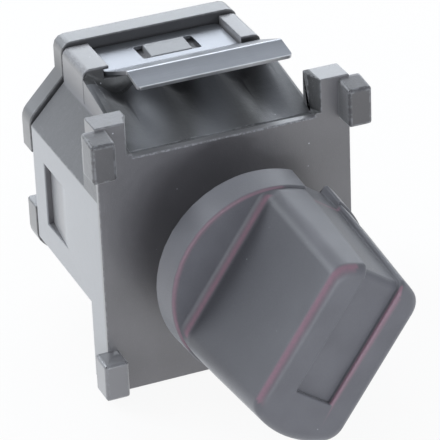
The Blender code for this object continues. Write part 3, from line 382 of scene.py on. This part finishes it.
body_finish = body_plastic()
rear_finish = rear_plastic()
knob_finish = knob_plastic()

# %% [markdown]
# ## Metals and nylon
#
# The clip is zinc-plated spring steel: grey rather than bright, with the faint lines of the rolling
# mill along the strip. The works inside are brass blades, copper bridges, steel springs and a
# natural nylon rotor.

# %% The metals
def sheet_metal(name, dark, light, roughness, along=(0.2, 5.0, 5.0)):
    finish = Finish(name, Metallic=1.0)
    where = finish.place()
    lines = finish.noise(finish.place(along), 1.0, 3.0)
    cloud = finish.noise(where, 0.5, 3.0)
    finish.set("Base Color", finish.mix(cloud.between(0.3, 0.7) * 0.6 + lines * 0.4, dark, light))
    finish.set("Roughness", roughness + lines * 0.12 + cloud * 0.08)
    finish.bump((lines, 0.03))
    return finish.material


def clip_sheet_metal():
    """Zinc-plated sheet, with painted highlights along the bend and the lip's front edge, and painted shade
    on the lip.
    """
    finish = Finish("clip_steel", Metallic=1.0)
    where = finish.place()
    y, z = finish.axes(where)[1:]
    lines = finish.noise(finish.place((0.2, 5.0, 5.0)), 1.0, 3.0)
    cloud = finish.noise(where, 0.5, 3.0)
    # painted highlights along the bend and the lip's front edge
    bend = (1 - (y - 11.6).math('ABSOLUTE').between(0.05, 0.3)) * z.between(25.0, 25.4)
    front_edge = 1 - y.between(7.05, 7.3)
    bright = bend.at_least(front_edge) * (0.6 + cloud * 0.5)
    # painted shade on the lip
    lip = (1 - y.between(11.0, 11.4)) * y.between(8.0, 11.2)
    color = finish.mix(cloud * 0.4 + lines * 0.6, (0.26, 0.27, 0.295), (0.36, 0.37, 0.395))
    color = finish.mix(lip * 0.4, color, (0.16, 0.165, 0.18))
    color = finish.mix(bright, color, (0.66, 0.67, 0.69))
    finish.set("Base Color", color)
    finish.set("Roughness", 0.26 + lines * 0.12 + cloud * 0.08)
    finish.bump((lines, 0.03))
    return finish.material


def rotor_nylon():
    finish = Finish("rotor_nylon", Subsurface_Weight=0.1, Subsurface_Scale=0.001)
    where = finish.place()
    cloud = finish.noise(where, 0.3, 3.0)
    finish.set("Base Color", finish.mix(cloud, (0.66, 0.63, 0.55), (0.78, 0.76, 0.69)))
    finish.set("Roughness", 0.42 + cloud * 0.15)
    finish.bump((finish.noise(where, 4.0, 2.0), 0.05))
    return finish.material


clip_finish = clip_sheet_metal()
spring_finish = sheet_metal("spring_steel", (0.42, 0.42, 0.44), (0.55, 0.55, 0.57), 0.3, (3, 3, 3))
brass_finish = sheet_metal("terminal_brass", (0.62, 0.45, 0.2), (0.78, 0.6, 0.32), 0.28, (5.0, 0.2, 5.0))
copper_finish = sheet_metal("bridge_copper", (0.62, 0.33, 0.2), (0.78, 0.45, 0.3), 0.28)
nylon_finish = rotor_nylon()
FINISHES = {"body_plastic": body_finish, "rear_plastic": rear_finish, "knob_plastic": knob_finish,
            "clip_steel": clip_finish, "spring_steel": spring_finish, "terminal_brass": brass_finish,
            "bridge_copper": copper_finish, "rotor_nylon": nylon_finish}
print("finishes:", ", ".join(FINISHES))

# %% [markdown]
# Every solid of the frame gets its finish first. Those that the next cells replace are hidden
# later, and the works inside keep their own solids.

# %% Finishes on the solids
for part in frame["record"]["subparts"]:
    solid = nodes[part["node"]]
    solid.data.materials.clear()
    solid.data.materials.append(FINISHES[part["material_slot"]])
print("finishes on", len(nodes), "solids")

# %% [markdown]
# ## Softened copies of the mouldings
#
# The solids have knife-sharp edges, and no moulding has. Their meshes are loose triangles, so a
# copy is merged, its flat faces are joined again, and each outward edge is rounded with a bevel.
# The bevel's faces are marked, so that the material can lighten them as handling does.

# %% Copies and rounded edges
def copy_of(name):
    bm = bmesh.new()
    bm.from_mesh(nodes[name].data)
    bmesh.ops.remove_doubles(bm, verts=bm.verts[:], dist=0.002 * mm)
    bmesh.ops.dissolve_limit(bm, angle_limit=math.radians(0.5), verts=bm.verts[:], edges=bm.edges[:])
    return bm


def soften(bm, width, least_angle=25.0, where=None, segments=3):
    """Round the outward edges that where picks, and mark the new faces."""
    layer = bm.faces.layers.float.get(EDGE_LAYER) or bm.faces.layers.float.new(EDGE_LAYER)
    picked = [e for e in bm.edges if len(e.link_faces) == 2 and e.is_convex
              and e.calc_face_angle() > math.radians(least_angle) and (where is None or where(e))]
    made = bmesh.ops.bevel(bm, geom=picked, offset=width, segments=segments, profile=0.5, affect='EDGES',
                           clamp_overlap=False, material=-1)
    for face in made["faces"]:
        face[layer] = 1.0
    return len(picked)


def link_mesh(name, bm):
    mesh = bpy.data.meshes.new(name)
    bm.to_mesh(mesh)
    bm.free()
    obj = bpy.data.objects.new(name, mesh)
    bpy.context.scene.collection.objects.link(obj)
    return obj


def add_piece(name, bm, body, slot, replaced, sharp=40.0, sheet=0.0, edge=0.0):
    """A finished piece. A sheet gets its thickness here, and edge rounds what is still sharp."""
    open_edges = sum(1 for e in bm.edges if not e.is_manifold)
    piece = link_mesh(name, bm)
    mesh = piece.data
    mesh.shade_smooth()
    if sheet:
        wall = piece.modifiers.new("sheet", 'SOLIDIFY')
        wall.thickness = sheet
        wall.offset = 0.0
        wall.use_even_offset = True
    if edge:
        rounding = piece.modifiers.new("edges", 'BEVEL')
        rounding.width = edge
        rounding.segments = 2
        rounding.limit_method = 'ANGLE'
        rounding.angle_limit = math.radians(50)
    if not sheet:
        mesh.set_sharp_from_angle(angle=math.radians(sharp))
    even = piece.modifiers.new("even_shading", 'WEIGHTED_NORMAL')
    even.keep_sharp = True
    even.weight = 100
    mesh.materials.append(FINISHES[slot])
    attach(piece, body)
    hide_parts(replaced)
    print("%s: %d faces, %d open edges" % (name, len(mesh.polygons), open_edges))
    return piece


# %% [markdown]
# ## Housing and rear moulding
#
# The housing is one moulding: plate, stop blocks, body, fluted slope and rails. On the real one the
# tops of the two upper stop blocks fall a little towards their fronts, so those corners of the copy
# are lowered before its edges are rounded. A few short edges stay sharp, because a bevel there would
# run out into a spike. The rear moulding needs no more than rounded edges.

# %% The housing
BLOCK_TILT = 0.6 * mm     # how far the top of an upper stop block falls towards its front
BLOCK_REAR_Y = 0.7 * mm
BLOCK_LENGTH = 4.7 * mm
PLATE_HALF = 21 * mm


def stays_sharp(edge):
    """The slope's left edge, which runs out on the wall, and the short edges behind the upper blocks."""
    middle = (edge.verts[0].co + edge.verts[1].co) / 2
    slope_side = (-15.8 * mm < middle.x < -14.7 * mm and 1.7 * mm < middle.y < 21.7 * mm
                  and 17 * mm < middle.z < 21.6 * mm)
    behind_block = (abs(abs(middle.x) - PLATE_HALF) < 0.1 * mm and middle.y < 0.72 * mm
                    and middle.z > 22.9 * mm)
    return slope_side or behind_block


def tilt_block_tops(bm):
    for vert in bm.verts:
        at = vert.co
        if at.y < 0.75 * mm and abs(at.x) > 18.8 * mm and 22.3 * mm < at.z < 23.2 * mm:
            at.z -= BLOCK_TILT * (BLOCK_REAR_Y - at.y) / BLOCK_LENGTH
    bm.normal_update()


housing_bm = copy_of("housing")
tilt_block_tops(housing_bm)
soften(housing_bm, 0.2 * mm, where=lambda edge: not stays_sharp(edge))
add_piece("housing_shell", housing_bm, "housing_body", "body_plastic", "housing")

# %% The rear moulding
rear_bm = copy_of("rear_socket")
soften(rear_bm, 0.25 * mm)
add_piece("rear_shell", rear_bm, "housing_body", "rear_plastic", "rear_socket")

# %% [markdown]
# ## The spring clip
#
# The clip is one strip of sheet, bent twice. It is made as the press makes it: a row of points
# across the strip is pushed along the flat base, swung about each bend's own axis, and pushed on
# along the next flat. Then the window is taken out, the free corners are rounded and the sheet
# gets its thickness.

# %% The spring clip
CLIP_THICKNESS = 0.6 * mm
CLIP_REAR_Y = 30.5 * mm
CLIP_FLOOR_Z = 21.2 * mm          # middle of the sheet on the base
CLIP_KNEE_Y = 21.7 * mm
CLIP_BEND = (11.5 * mm, 25.7 * mm)
CLIP_LIP_END = (7.0 * mm, 24.8 * mm)
CLIP_LEFT = -11.1 * mm
CLIP_BASE_RIGHT = 11.7 * mm
CLIP_LIP_RIGHT = 14.7 * mm
CLIP_SIDE_TRIM_Y = 20.7 * mm      # in front of this the sheet runs out to the lip's full width
CLIP_KNEE_RADIUS = 1.2 * mm
CLIP_BEND_RADIUS = 0.9 * mm
CLIP_WINDOW_X = (-3.9 * mm, 6.1 * mm)
CLIP_WINDOW_Y = (23.3 * mm, 28.1 * mm)
CLIP_CORNER = 0.7 * mm
CLIP_WINDOW_CORNER = 0.45 * mm


def push_row(bm, row, step):
    made = bmesh.ops.extrude_edge_only(bm, edges=row)["geom"]
    bmesh.ops.translate(bm, verts=[g for g in made if isinstance(g, bmesh.types.BMVert)], vec=step)
    fresh = {g for g in made if isinstance(g, bmesh.types.BMVert)}
    return [g for g in made if isinstance(g, bmesh.types.BMEdge) and set(g.verts) <= fresh]


def swing_row(bm, row, centre, angle, steps=8):
    made = bmesh.ops.spin(bm, geom=row, cent=centre, axis=(1, 0, 0), angle=angle, steps=steps)
    return [g for g in made["geom_last"] if isinstance(g, bmesh.types.BMEdge)]


def clip_sheet():
    """Middle surface of the bent strip, from the rear edge to the lip's end."""
    bm = bmesh.new()
    columns = [CLIP_LEFT, CLIP_WINDOW_X[0], CLIP_WINDOW_X[1], CLIP_BASE_RIGHT, CLIP_LIP_RIGHT]
    verts = [bm.verts.new((x, CLIP_REAR_Y, CLIP_FLOOR_Z)) for x in columns]
    row = [bm.edges.new(pair) for pair in zip(verts, verts[1:])]
    rise = Vector(CLIP_BEND) - Vector((CLIP_KNEE_Y, CLIP_FLOOR_Z))
    fall = Vector(CLIP_LIP_END) - Vector(CLIP_BEND)
    up_angle = math.atan2(rise.y, -rise.x)
    down_angle = math.atan2(-fall.y, -fall.x)
    knee_reach = CLIP_KNEE_RADIUS * math.tan(up_angle / 2)
    bend_reach = CLIP_BEND_RADIUS * math.tan((up_angle + down_angle) / 2)
    ahead = rise.normalized()
    stops = [CLIP_REAR_Y, CLIP_WINDOW_Y[1], CLIP_WINDOW_Y[0], CLIP_KNEE_Y + knee_reach]
    for y_from, y_to in zip(stops, stops[1:]):
        row = push_row(bm, row, (0, y_to - y_from, 0))
    row = swing_row(bm, row, (0, stops[-1], CLIP_FLOOR_Z + CLIP_KNEE_RADIUS), -up_angle)
    to_trim = (CLIP_KNEE_Y - CLIP_SIDE_TRIM_Y) / -ahead.x - knee_reach
    rest = rise.length - knee_reach - bend_reach - to_trim
    for length in (to_trim, rest):
        row = push_row(bm, row, (0, ahead.x * length, ahead.y * length))
    centre = Vector(CLIP_BEND) - ahead * bend_reach + Vector((-ahead.y, ahead.x)) * CLIP_BEND_RADIUS
    row = swing_row(bm, row, (0, centre.x, centre.y), up_angle + down_angle)
    down = fall.normalized() * (fall.length - bend_reach)
    push_row(bm, row, (0, down.x, down.y))
    bmesh.ops.remove_doubles(bm, verts=bm.verts[:], dist=0.001 * mm)
    return bm


def clip_outline(bm):
    """Take out the window and the strip beside the right rail, and round the free corners."""
    def outside(face):
        at = face.calc_center_median()
        window = CLIP_WINDOW_X[0] < at.x < CLIP_WINDOW_X[1] and CLIP_WINDOW_Y[0] < at.y < CLIP_WINDOW_Y[1]
        return window or (at.x > CLIP_BASE_RIGHT and at.y > CLIP_SIDE_TRIM_Y)

    bmesh.ops.delete(bm, geom=[f for f in bm.faces if outside(f)], context='FACES')
    groups = {CLIP_CORNER: [], CLIP_WINDOW_CORNER: []}
    for vert in bm.verts:
        rim = [e for e in vert.link_edges if e.is_boundary]
        if len(rim) != 2:
            continue
        arms = [e.other_vert(vert).co - vert.co for e in rim]
        if arms[0].angle(arms[1]) < math.radians(120):
            groups[CLIP_CORNER if len(vert.link_faces) == 1 else CLIP_WINDOW_CORNER].append(vert)
    for radius, corners in groups.items():
        bmesh.ops.bevel(bm, geom=corners, offset=radius, segments=4, profile=0.5, affect='VERTICES',
                        clamp_overlap=False, material=-1)
    bmesh.ops.recalc_face_normals(bm, faces=bm.faces[:])


clip_bm = clip_sheet()
clip_outline(clip_bm)
add_piece("clip_sheet", clip_bm, "housing_body", "clip_steel", "retaining_clip", sheet=CLIP_THICKNESS,
          edge=0.1 * mm)

# %% [markdown]
# ## The knob
#
# The knob is one moulding: a round skirt, and on it a grip that is a slice of a cone, flat on both
# sides, with a pointer slot along its top and down one end. It is a loft: an outline is laid at each
# height, and the rim of one is extruded to the next. Every outline has the same number of points,
# also where it dips into the slot, so the whole knob is one skin of smooth quads. It is modelled
# pointing straight up and turned to its place at the end.

# %% Sizes of the knob
KNOB_REAR_Y = -10.6 * mm
SKIRT_REAR_RADIUS = 16.45 * mm
SKIRT_FRONT_RADIUS = 16.2 * mm
SKIRT_EDGE = 0.4 * mm
SKIRT_REAR_EDGE = 0.25 * mm
GRIP_FLOOR_Y = -16.4 * mm
GRIP_HEIGHT = 24.3 * mm
GRIP_TOP_Y = GRIP_FLOOR_Y - GRIP_HEIGHT
GRIP_BASE = (8.9 * mm, 15.95 * mm)    # half thickness and end radius at the foot
GRIP_TOP = (8.0 * mm, 14.4 * mm)      # the same at the top
GRIP_CORNER = 3.0 * mm
GRIP_TOP_ROUNDING = 1.5 * mm
GRIP_END_ROUNDING = 2.0 * mm
GRIP_FOOT_FILLET = 1.3 * mm
KNOB_WALL = 2.2 * mm
SLOT_HALF = 3.25 * mm
SLOT_TAIL = 7.2 * mm
SLOT_DEPTH = 1.0 * mm
SLOT_END_DEPTH = 1.4 * mm
SLOT_BACKING_Z = 13.15 * mm           # inside face of the wall behind the slot in the skirt
SLOT_BEND = 1.2 * mm                  # rounding from the end's slot into the top's slot
SLOT_FLOOR_FALL = 0.02 * mm           # how much higher the top slot's floor lies at its tail
SLOT_RIM = 0.3 * mm                   # rounding of the top slot's rim
SLOT_MOUTH = (0.35 * mm, 0.55 * mm)   # rounding of the ribs beside the slot, at the foot and on top
SLOT_CORNER = 0.3 * mm
HUB_RADIUS = 5.5 * mm
HUB_REAR_Y = -2.3 * mm
BORE_RADIUS = 3.3 * mm
BORE_END_Y = -30.0 * mm
SKIRT_FACE_RINGS = (0.1, 0.92)        # shares of the way from the skirt's edge to the grip's foot
SIDE_STEPS, CORNER_STEPS, END_STEPS, FILLET_STEPS, WALL_STEPS, ARC_STEPS = 8, 8, 6, 5, 3, 8

# %% [markdown]
# An outline starts in the middle of the right side and runs up round the corner. From there its end
# points either run straight over the tip or follow the slot: over the rib's rounded edge, down the
# slot's wall and round its corner to the floor.


# %% Outlines
def arc(centre, radius, start, end, steps):
    """Points on a circle from one angle to another, without the last one."""
    angles = [start + (end - start) * k / steps for k in range(steps)]
    return [(centre[0] + radius * math.cos(a), centre[1] + radius * math.sin(a)) for a in angles]


def side_and_corner(half, radius, corner):
    """The flat side and the rounded corner, and the angle at which the end starts."""
    reach = math.sqrt((radius - corner) ** 2 - (half - corner) ** 2)
    turn = math.atan2(reach, half - corner)
    side = [(half, reach * k / SIDE_STEPS) for k in range(SIDE_STEPS)]
    return side + arc((half - corner, reach), corner, 0.0, turn, CORNER_STEPS), turn


def end_points(radius, turn, slot=None):
    """From the corner to just before the middle; slot is its half width, floor and mouth rounding."""
    if slot is None:
        return arc((0.0, 0.0), radius, turn, math.pi / 2, END_STEPS + 2 * FILLET_STEPS + WALL_STEPS + 1)
    half, floor, mouth = slot
    reach = math.sqrt((radius - mouth) ** 2 - (half + mouth) ** 2)
    start = math.atan2(reach, half + mouth)
    foot = floor + SLOT_CORNER
    points = arc((0.0, 0.0), radius, turn, start, END_STEPS)
    points += arc((half + mouth, reach), mouth, start, math.pi, FILLET_STEPS)
    points += [(half, reach + (foot - reach) * k / WALL_STEPS) for k in range(WALL_STEPS)]
    points += arc((half - SLOT_CORNER, foot), SLOT_CORNER, 0.0, -math.pi / 2, FILLET_STEPS)
    return points + [(half - SLOT_CORNER, floor)]


def whole_outline(y, upper, lower, tip, tail):
    """Mirror the two quarters on the right to the left."""
    right = upper + [(0.0, tip)]
    left = [(-x, z) for x, z in reversed(upper[1:])]
    below = [(-x, -z) for x, z in lower]
    below_right = [(x, -z) for x, z in reversed(lower[1:])]
    return [(x, y, z) for x, z in right + left + below + [(0.0, -tail)] + below_right]


def grip_outline(y, half, radius, corner, slot=None):
    first, turn = side_and_corner(half, radius, corner)
    upper = first + end_points(radius, turn, slot)
    lower = first + arc((0.0, 0.0), radius, turn, math.pi / 2, END_STEPS)
    return whole_outline(y, upper, lower, slot[1] if slot else radius, radius)


BASE_POINTS, BASE_TURN = side_and_corner(*GRIP_BASE, GRIP_CORNER)


def round_outline(y, radius, slot=None, highest=None):
    """A circle; highest cuts its top off flat, for the wall behind the slot."""
    angles = [math.atan2(z, x) for x, z in BASE_POINTS]
    first = [(radius * math.cos(a), radius * math.sin(a)) for a in angles]
    upper = first + end_points(radius, BASE_TURN, slot)
    tip = slot[1] if slot else radius
    if highest is not None:
        upper = [(x, min(z, highest)) for x, z in upper]
        tip = highest
    lower = first + arc((0.0, 0.0), radius, BASE_TURN, math.pi / 2, END_STEPS)
    return whole_outline(y, upper, lower, tip, radius)


# %% [markdown]
# Two functions of the height give the grip's half thickness and end radius, and the slot's half
# width, floor and mouth. The fillet at the foot, the rounded top, the bend of the slot and its rim
# are quarter circles in them.

# %% The grip and the slot at any height
def quarter_circle(share):
    """0 at share 0, 1 at share 1, and between them as far in as a quarter circle lies."""
    share = min(1.0, max(0.0, share))
    return 1 - math.sqrt(1 - share ** 2)


def grip_at(y):
    share = (GRIP_FLOOR_Y - y) / GRIP_HEIGHT
    half, radius = [a + (b - a) * share for a, b in zip(GRIP_BASE, GRIP_TOP)]
    foot = quarter_circle(1 - (GRIP_FLOOR_Y - y) / GRIP_FOOT_FILLET)
    top = quarter_circle(1 - (y - GRIP_TOP_Y) / GRIP_TOP_ROUNDING)
    half += GRIP_FOOT_FILLET * foot - GRIP_TOP_ROUNDING * top
    return half, min(radius, SKIRT_FRONT_RADIUS - SKIRT_EDGE) - GRIP_END_ROUNDING * top


def slot_at(y):
    """The slot down the end, as far as the bend into the top's slot."""
    share = min(1.0, max(0.0, (GRIP_FLOOR_Y - y) / (GRIP_HEIGHT + mm)))
    floor = GRIP_BASE[1] + (GRIP_TOP[1] - GRIP_BASE[1]) * share - SLOT_END_DEPTH
    bend = quarter_circle(1 - (y - GRIP_TOP_Y - SLOT_DEPTH) / SLOT_BEND)
    mouth = SLOT_MOUTH[0] + (SLOT_MOUTH[1] - SLOT_MOUTH[0]) * share ** 3
    return SLOT_HALF, floor - SLOT_BEND * bend, mouth


def top_slot_at(y):
    wider = SLOT_RIM * quarter_circle(1 - (y - GRIP_TOP_Y) / SLOT_RIM)
    return SLOT_HALF + wider, -SLOT_TAIL - wider, SLOT_MOUTH[1]


def heights(low, high, steps):
    """Heights on a quarter circle that is steep at low and flat at high."""
    return [low + (high - low) * math.sin(math.pi / 2 * k / steps) for k in range(steps + 1)]


def spaced(values):
    """From the skirt to the top, without heights that nearly coincide."""
    kept = []
    for value in sorted(values, reverse=True):
        if not kept or kept[-1] - value > 0.02 * mm:
            kept.append(value)
    return kept


def knob_outlines():
    """From the hollow's roof, out under the skirt, round its edges and up the grip to its top."""
    roof_y = GRIP_TOP_Y + KNOB_WALL + SLOT_DEPTH
    mouth_y = GRIP_FLOOR_Y + KNOB_WALL
    slot_y = GRIP_TOP_Y + SLOT_DEPTH
    rings = []
    for y, level in ((roof_y, roof_y), (mouth_y, GRIP_FLOOR_Y - GRIP_FOOT_FILLET)):
        half, radius = grip_at(level)
        rings.append(grip_outline(y, half - KNOB_WALL, radius - KNOB_WALL - SLOT_END_DEPTH, GRIP_CORNER / 2))
    for radius, y in ((SKIRT_FRONT_RADIUS, mouth_y), (SKIRT_REAR_RADIUS, KNOB_REAR_Y)):
        rings.append(round_outline(y, radius - KNOB_WALL, highest=SLOT_BACKING_Z))
    quarter = [math.pi / 2 * k / ARC_STEPS for k in range(ARC_STEPS + 1)]
    for a in quarter[::2]:
        rings.append(round_outline(KNOB_REAR_Y - SKIRT_REAR_EDGE * (1 - math.cos(a)),
                                   SKIRT_REAR_RADIUS - SKIRT_REAR_EDGE * (1 - math.sin(a)),
                                   slot_at(KNOB_REAR_Y)))
    floor_slot = slot_at(GRIP_FLOOR_Y)
    for a in quarter:
        rings.append(round_outline(GRIP_FLOOR_Y + SKIRT_EDGE * (1 - math.sin(a)),
                                   SKIRT_FRONT_RADIUS - SKIRT_EDGE * (1 - math.cos(a)), floor_slot))
    rim, root = rings[-1], grip_outline(GRIP_FLOOR_Y, *grip_at(GRIP_FLOOR_Y), GRIP_CORNER, floor_slot)
    for share in SKIRT_FACE_RINGS:
        rings.append([tuple(Vector(a).lerp(Vector(b), share)) for a, b in zip(rim, root)])
    foot = heights(GRIP_FLOOR_Y - GRIP_FOOT_FILLET, GRIP_FLOOR_Y, ARC_STEPS)
    sides = [GRIP_FLOOR_Y - GRIP_FOOT_FILLET - (GRIP_HEIGHT - 3 * mm) * k / 4 for k in range(1, 4)]
    top = heights(GRIP_TOP_Y + GRIP_TOP_ROUNDING, GRIP_TOP_Y, ARC_STEPS)
    bend = heights(slot_y + SLOT_BEND, slot_y, 6)
    slot_rim = heights(GRIP_TOP_Y + SLOT_RIM, GRIP_TOP_Y, 4)
    for y in spaced([y for y in foot + sides + top + bend if y > slot_y] + [slot_y]):
        rings.append(grip_outline(y, *grip_at(y), GRIP_CORNER, slot_at(y)))
    tail_y = slot_y - SLOT_FLOOR_FALL
    for y in spaced([tail_y] + [y for y in top + slot_rim if y < tail_y]):
        rings.append(grip_outline(y, *grip_at(y), GRIP_CORNER, top_slot_at(y)))
    return rings


# %% [markdown]
# The loft closes the first outline, extrudes its rim from outline to outline and closes the last.
# Inside, the hub is joined to the hollow's roof and bored for the spindle.

# %% Loft and hub
def loft(outlines):
    bm = bmesh.new()
    verts = [bm.verts.new(point) for point in outlines[0]]
    edges = [bm.edges.new(pair) for pair in zip(verts, verts[1:] + verts[:1])]
    bmesh.ops.contextual_create(bm, geom=edges)
    for outline in outlines[1:]:
        made = bmesh.ops.extrude_edge_only(bm, edges=edges)["geom"]
        fresh = {g for g in made if isinstance(g, bmesh.types.BMVert)}
        verts = [next(e.other_vert(v) for e in v.link_edges if e.other_vert(v) in fresh) for v in verts]
        for vert, point in zip(verts, outline):
            vert.co = point
        edges = [bm.edges.get(pair) for pair in zip(verts, verts[1:] + verts[:1])]
    bmesh.ops.contextual_create(bm, geom=edges)
    bmesh.ops.recalc_face_normals(bm, faces=bm.faces[:])
    return bm


def add_hub(bm):
    """A tube on the hollow's roof, closed at the bore's end, with the spindle's bore in it."""
    roof_y = GRIP_TOP_Y + KNOB_WALL + SLOT_DEPTH
    levels = [(HUB_RADIUS, roof_y - KNOB_WALL / 2), (HUB_RADIUS, HUB_REAR_Y), (BORE_RADIUS, HUB_REAR_Y),
              (BORE_RADIUS, BORE_END_Y)]
    rows = []
    for radius, y in levels:
        matrix = Matrix.Translation((0, y, 0)) @ Matrix.Rotation(math.pi / 2, 4, 'X')
        made = bmesh.ops.create_circle(bm, segments=48, radius=radius, matrix=matrix)
        rows.append(sorted(made["verts"], key=lambda v: math.atan2(v.co.z, v.co.x)))
    for near, far in zip(rows, rows[1:]):
        edges = [bm.edges.get(pair) for row in (near, far) for pair in zip(row, row[1:] + row[:1])]
        bmesh.ops.bridge_loops(bm, edges=edges)
    for row in (rows[0], rows[-1]):
        bmesh.ops.contextual_create(bm, geom=[bm.edges.get(pair) for pair in zip(row, row[1:] + row[:1])])
    bmesh.ops.recalc_face_normals(bm, faces=bm.faces[:])


# %% [markdown]
# A faint mauve painted highlight lies on the long roundings: the rounded edge of the grip's top,
# the fillet at its foot, the skirt's front edge and the slot's right-hand rim. Each point of the mesh
# carries how much of it lies there, and the material reads that.

# %% Where the painted highlights lie
SKIRT_EDGE_FROM = 15.78 * mm    # the skirt's edge begins this far from the axis
FOOT_REACH = 15.4 * mm          # and the grip's foot ends here
SKIRT_HIGHLIGHT_X = -7.0 * mm       # the painted highlight on the skirt lies left of this
TOP_HIGHLIGHT_X = -5.0 * mm         # that on the top's rounding left of this, and above the next
TOP_HIGHLIGHT_Z = -11.0 * mm


def hump(value, low, high):
    """0 outside low and high, and 1 in the middle between them."""
    share = (value - low) / (high - low)
    return math.sin(math.pi * share) ** 2 if 0.0 < share < 1.0 else 0.0


# How much painted highlight lies at a point of the knob.
def painted_highlight(at):
    far = math.hypot(at.x, at.z)
    if at.y > GRIP_FLOOR_Y - 0.01 * mm:
        on_edge = far > SKIRT_EDGE_FROM and at.x < SKIRT_HIGHLIGHT_X
        return 0.8 * hump(at.y, GRIP_FLOOR_Y - SKIRT_EDGE, GRIP_FLOOR_Y + SKIRT_EDGE) * on_edge
    if at.y > GRIP_FLOOR_Y - GRIP_FOOT_FILLET:
        return hump(at.y, GRIP_FLOOR_Y - 0.9 * GRIP_FOOT_FILLET, GRIP_FLOOR_Y) * (far < FOOT_REACH)
    if at.y >= GRIP_TOP_Y + GRIP_TOP_ROUNDING:
        return 0.0
    if abs(at.x) < SLOT_HALF + 0.5 * mm:
        on_rim = at.x > SLOT_HALF - 0.1 * mm and at.y < GRIP_TOP_Y + 0.6 * mm and at.z > -SLOT_TAIL
        return 0.9 * on_rim
    on_top = at.x < TOP_HIGHLIGHT_X and at.z > TOP_HIGHLIGHT_Z
    return hump(at.y, GRIP_TOP_Y, GRIP_TOP_Y + GRIP_TOP_ROUNDING) * on_top


# %% The knob
knob_bm = loft(knob_outlines())
bmesh.ops.remove_doubles(knob_bm, verts=knob_bm.verts[:], dist=0.003 * mm)
print("knob volume:", round(knob_bm.calc_volume() * 1e9), "mm3 without the hub")
add_hub(knob_bm)
highlight_layer = knob_bm.verts.layers.float.new(EDGE_LAYER)
for vert in knob_bm.verts:
    vert[highlight_layer] = painted_highlight(vert.co)
bmesh.ops.rotate(knob_bm, verts=knob_bm.verts[:], cent=(0, 0, 0),
                 matrix=Matrix.Rotation(POINTER_ANGLE, 3, 'Y'))
add_piece("knob_moulding", knob_bm, "knob_body", "knob_plastic", "knob")

# %% [markdown]
# ## The studio
#
# The photograph shows the switch on plain white, lit from behind and from the left by wide soft
# lamps, with some light from the paper in front. A pale floor runs out under it. Three softboxes, the
# last a low narrow one that stands for the paper, and a white room give the same light.

# %% Floor
FLOOR_Z = cad_bounds[0].z - 0.3 * mm
FLOOR_HALF = 3.0         # metres from the middle of the floor to its edges
WHITE_TO_CAMERA = 0.92   # how much of the floor's colour is plain white where the camera sees it
WHITE_IN_GLOSS = 0.9     # and where a shiny surface mirrors it


def floor_paper():
    finish = Finish("floor_paper", Roughness=0.6)
    fibres = finish.noise(finish.place(), 0.3, 2.0)
    finish.set("Base Color", finish.mix(fibres, (0.86, 0.86, 0.86), (0.9, 0.9, 0.9)))
    camera_ray = finish.add("ShaderNodeLightPath", out="Is Camera Ray")
    glossy_ray = finish.add("ShaderNodeLightPath", out="Is Glossy Ray")
    seen = camera_ray * WHITE_TO_CAMERA + glossy_ray * WHITE_IN_GLOSS
    white = finish.tree.nodes.new("ShaderNodeEmission")
    mixed = finish.tree.nodes.new("ShaderNodeMixShader")
    finish.connect(mixed.inputs[0], seen)
    finish.tree.links.new(finish.shader.outputs[0], mixed.inputs[1])
    finish.tree.links.new(white.outputs[0], mixed.inputs[2])
    finish.tree.links.new(mixed.outputs[0], finish.tree.nodes["Material Output"].inputs["Surface"])
    return finish.material


def make_floor():
    bm = bmesh.new()
    bmesh.ops.create_grid(bm, x_segments=1, y_segments=1, size=FLOOR_HALF,
                          matrix=Matrix.Translation((0, 0, FLOOR_Z)))
    floor = link_mesh("floor", bm)
    floor.data.materials.append(floor_paper())
    return floor


floor = make_floor()
print("floor at z", round(FLOOR_Z / mm, 1), "mm")

# %% Room and lamps
COOL_LIGHT = (0.88, 0.935, 1.0)
ROOM_STRENGTH = 0.68
world = bpy.data.worlds.new("studio")
bpy.context.scene.world = world
world.use_nodes = True
room = world.node_tree.nodes["Background"]
room.inputs["Color"].default_value = (*COOL_LIGHT, 1)
room.inputs["Strength"].default_value = ROOM_STRENGTH


def area_light(name, place, aim, size, power):
    data = bpy.data.lights.new(name, 'AREA')
    data.color = COOL_LIGHT
    data.shape = 'RECTANGLE'
    data.size, data.size_y = size
    data.energy = power
    light = bpy.data.objects.new(name, data)
    light.location = place
    light.rotation_euler = (Vector(aim) - Vector(place)).to_track_quat('-Z', 'Y').to_euler()
    bpy.context.scene.collection.objects.link(light)
    return light


area_light("back_softbox", (0.35, 0.9, 0.44), (0, 0, 0), (1.0, 0.36), 3.4)
area_light("left_softbox", (-0.62, 0.6, 0.62), (0, 0, 0), (0.5, 0.4), 5.0)
area_light("low_front_softbox", (-0.02, -0.36, -0.012), (0, 0, -0.008), (0.2, 0.015), 0.4)

# %% View and sizes
bpy.context.scene.view_settings.view_transform = 'Standard'
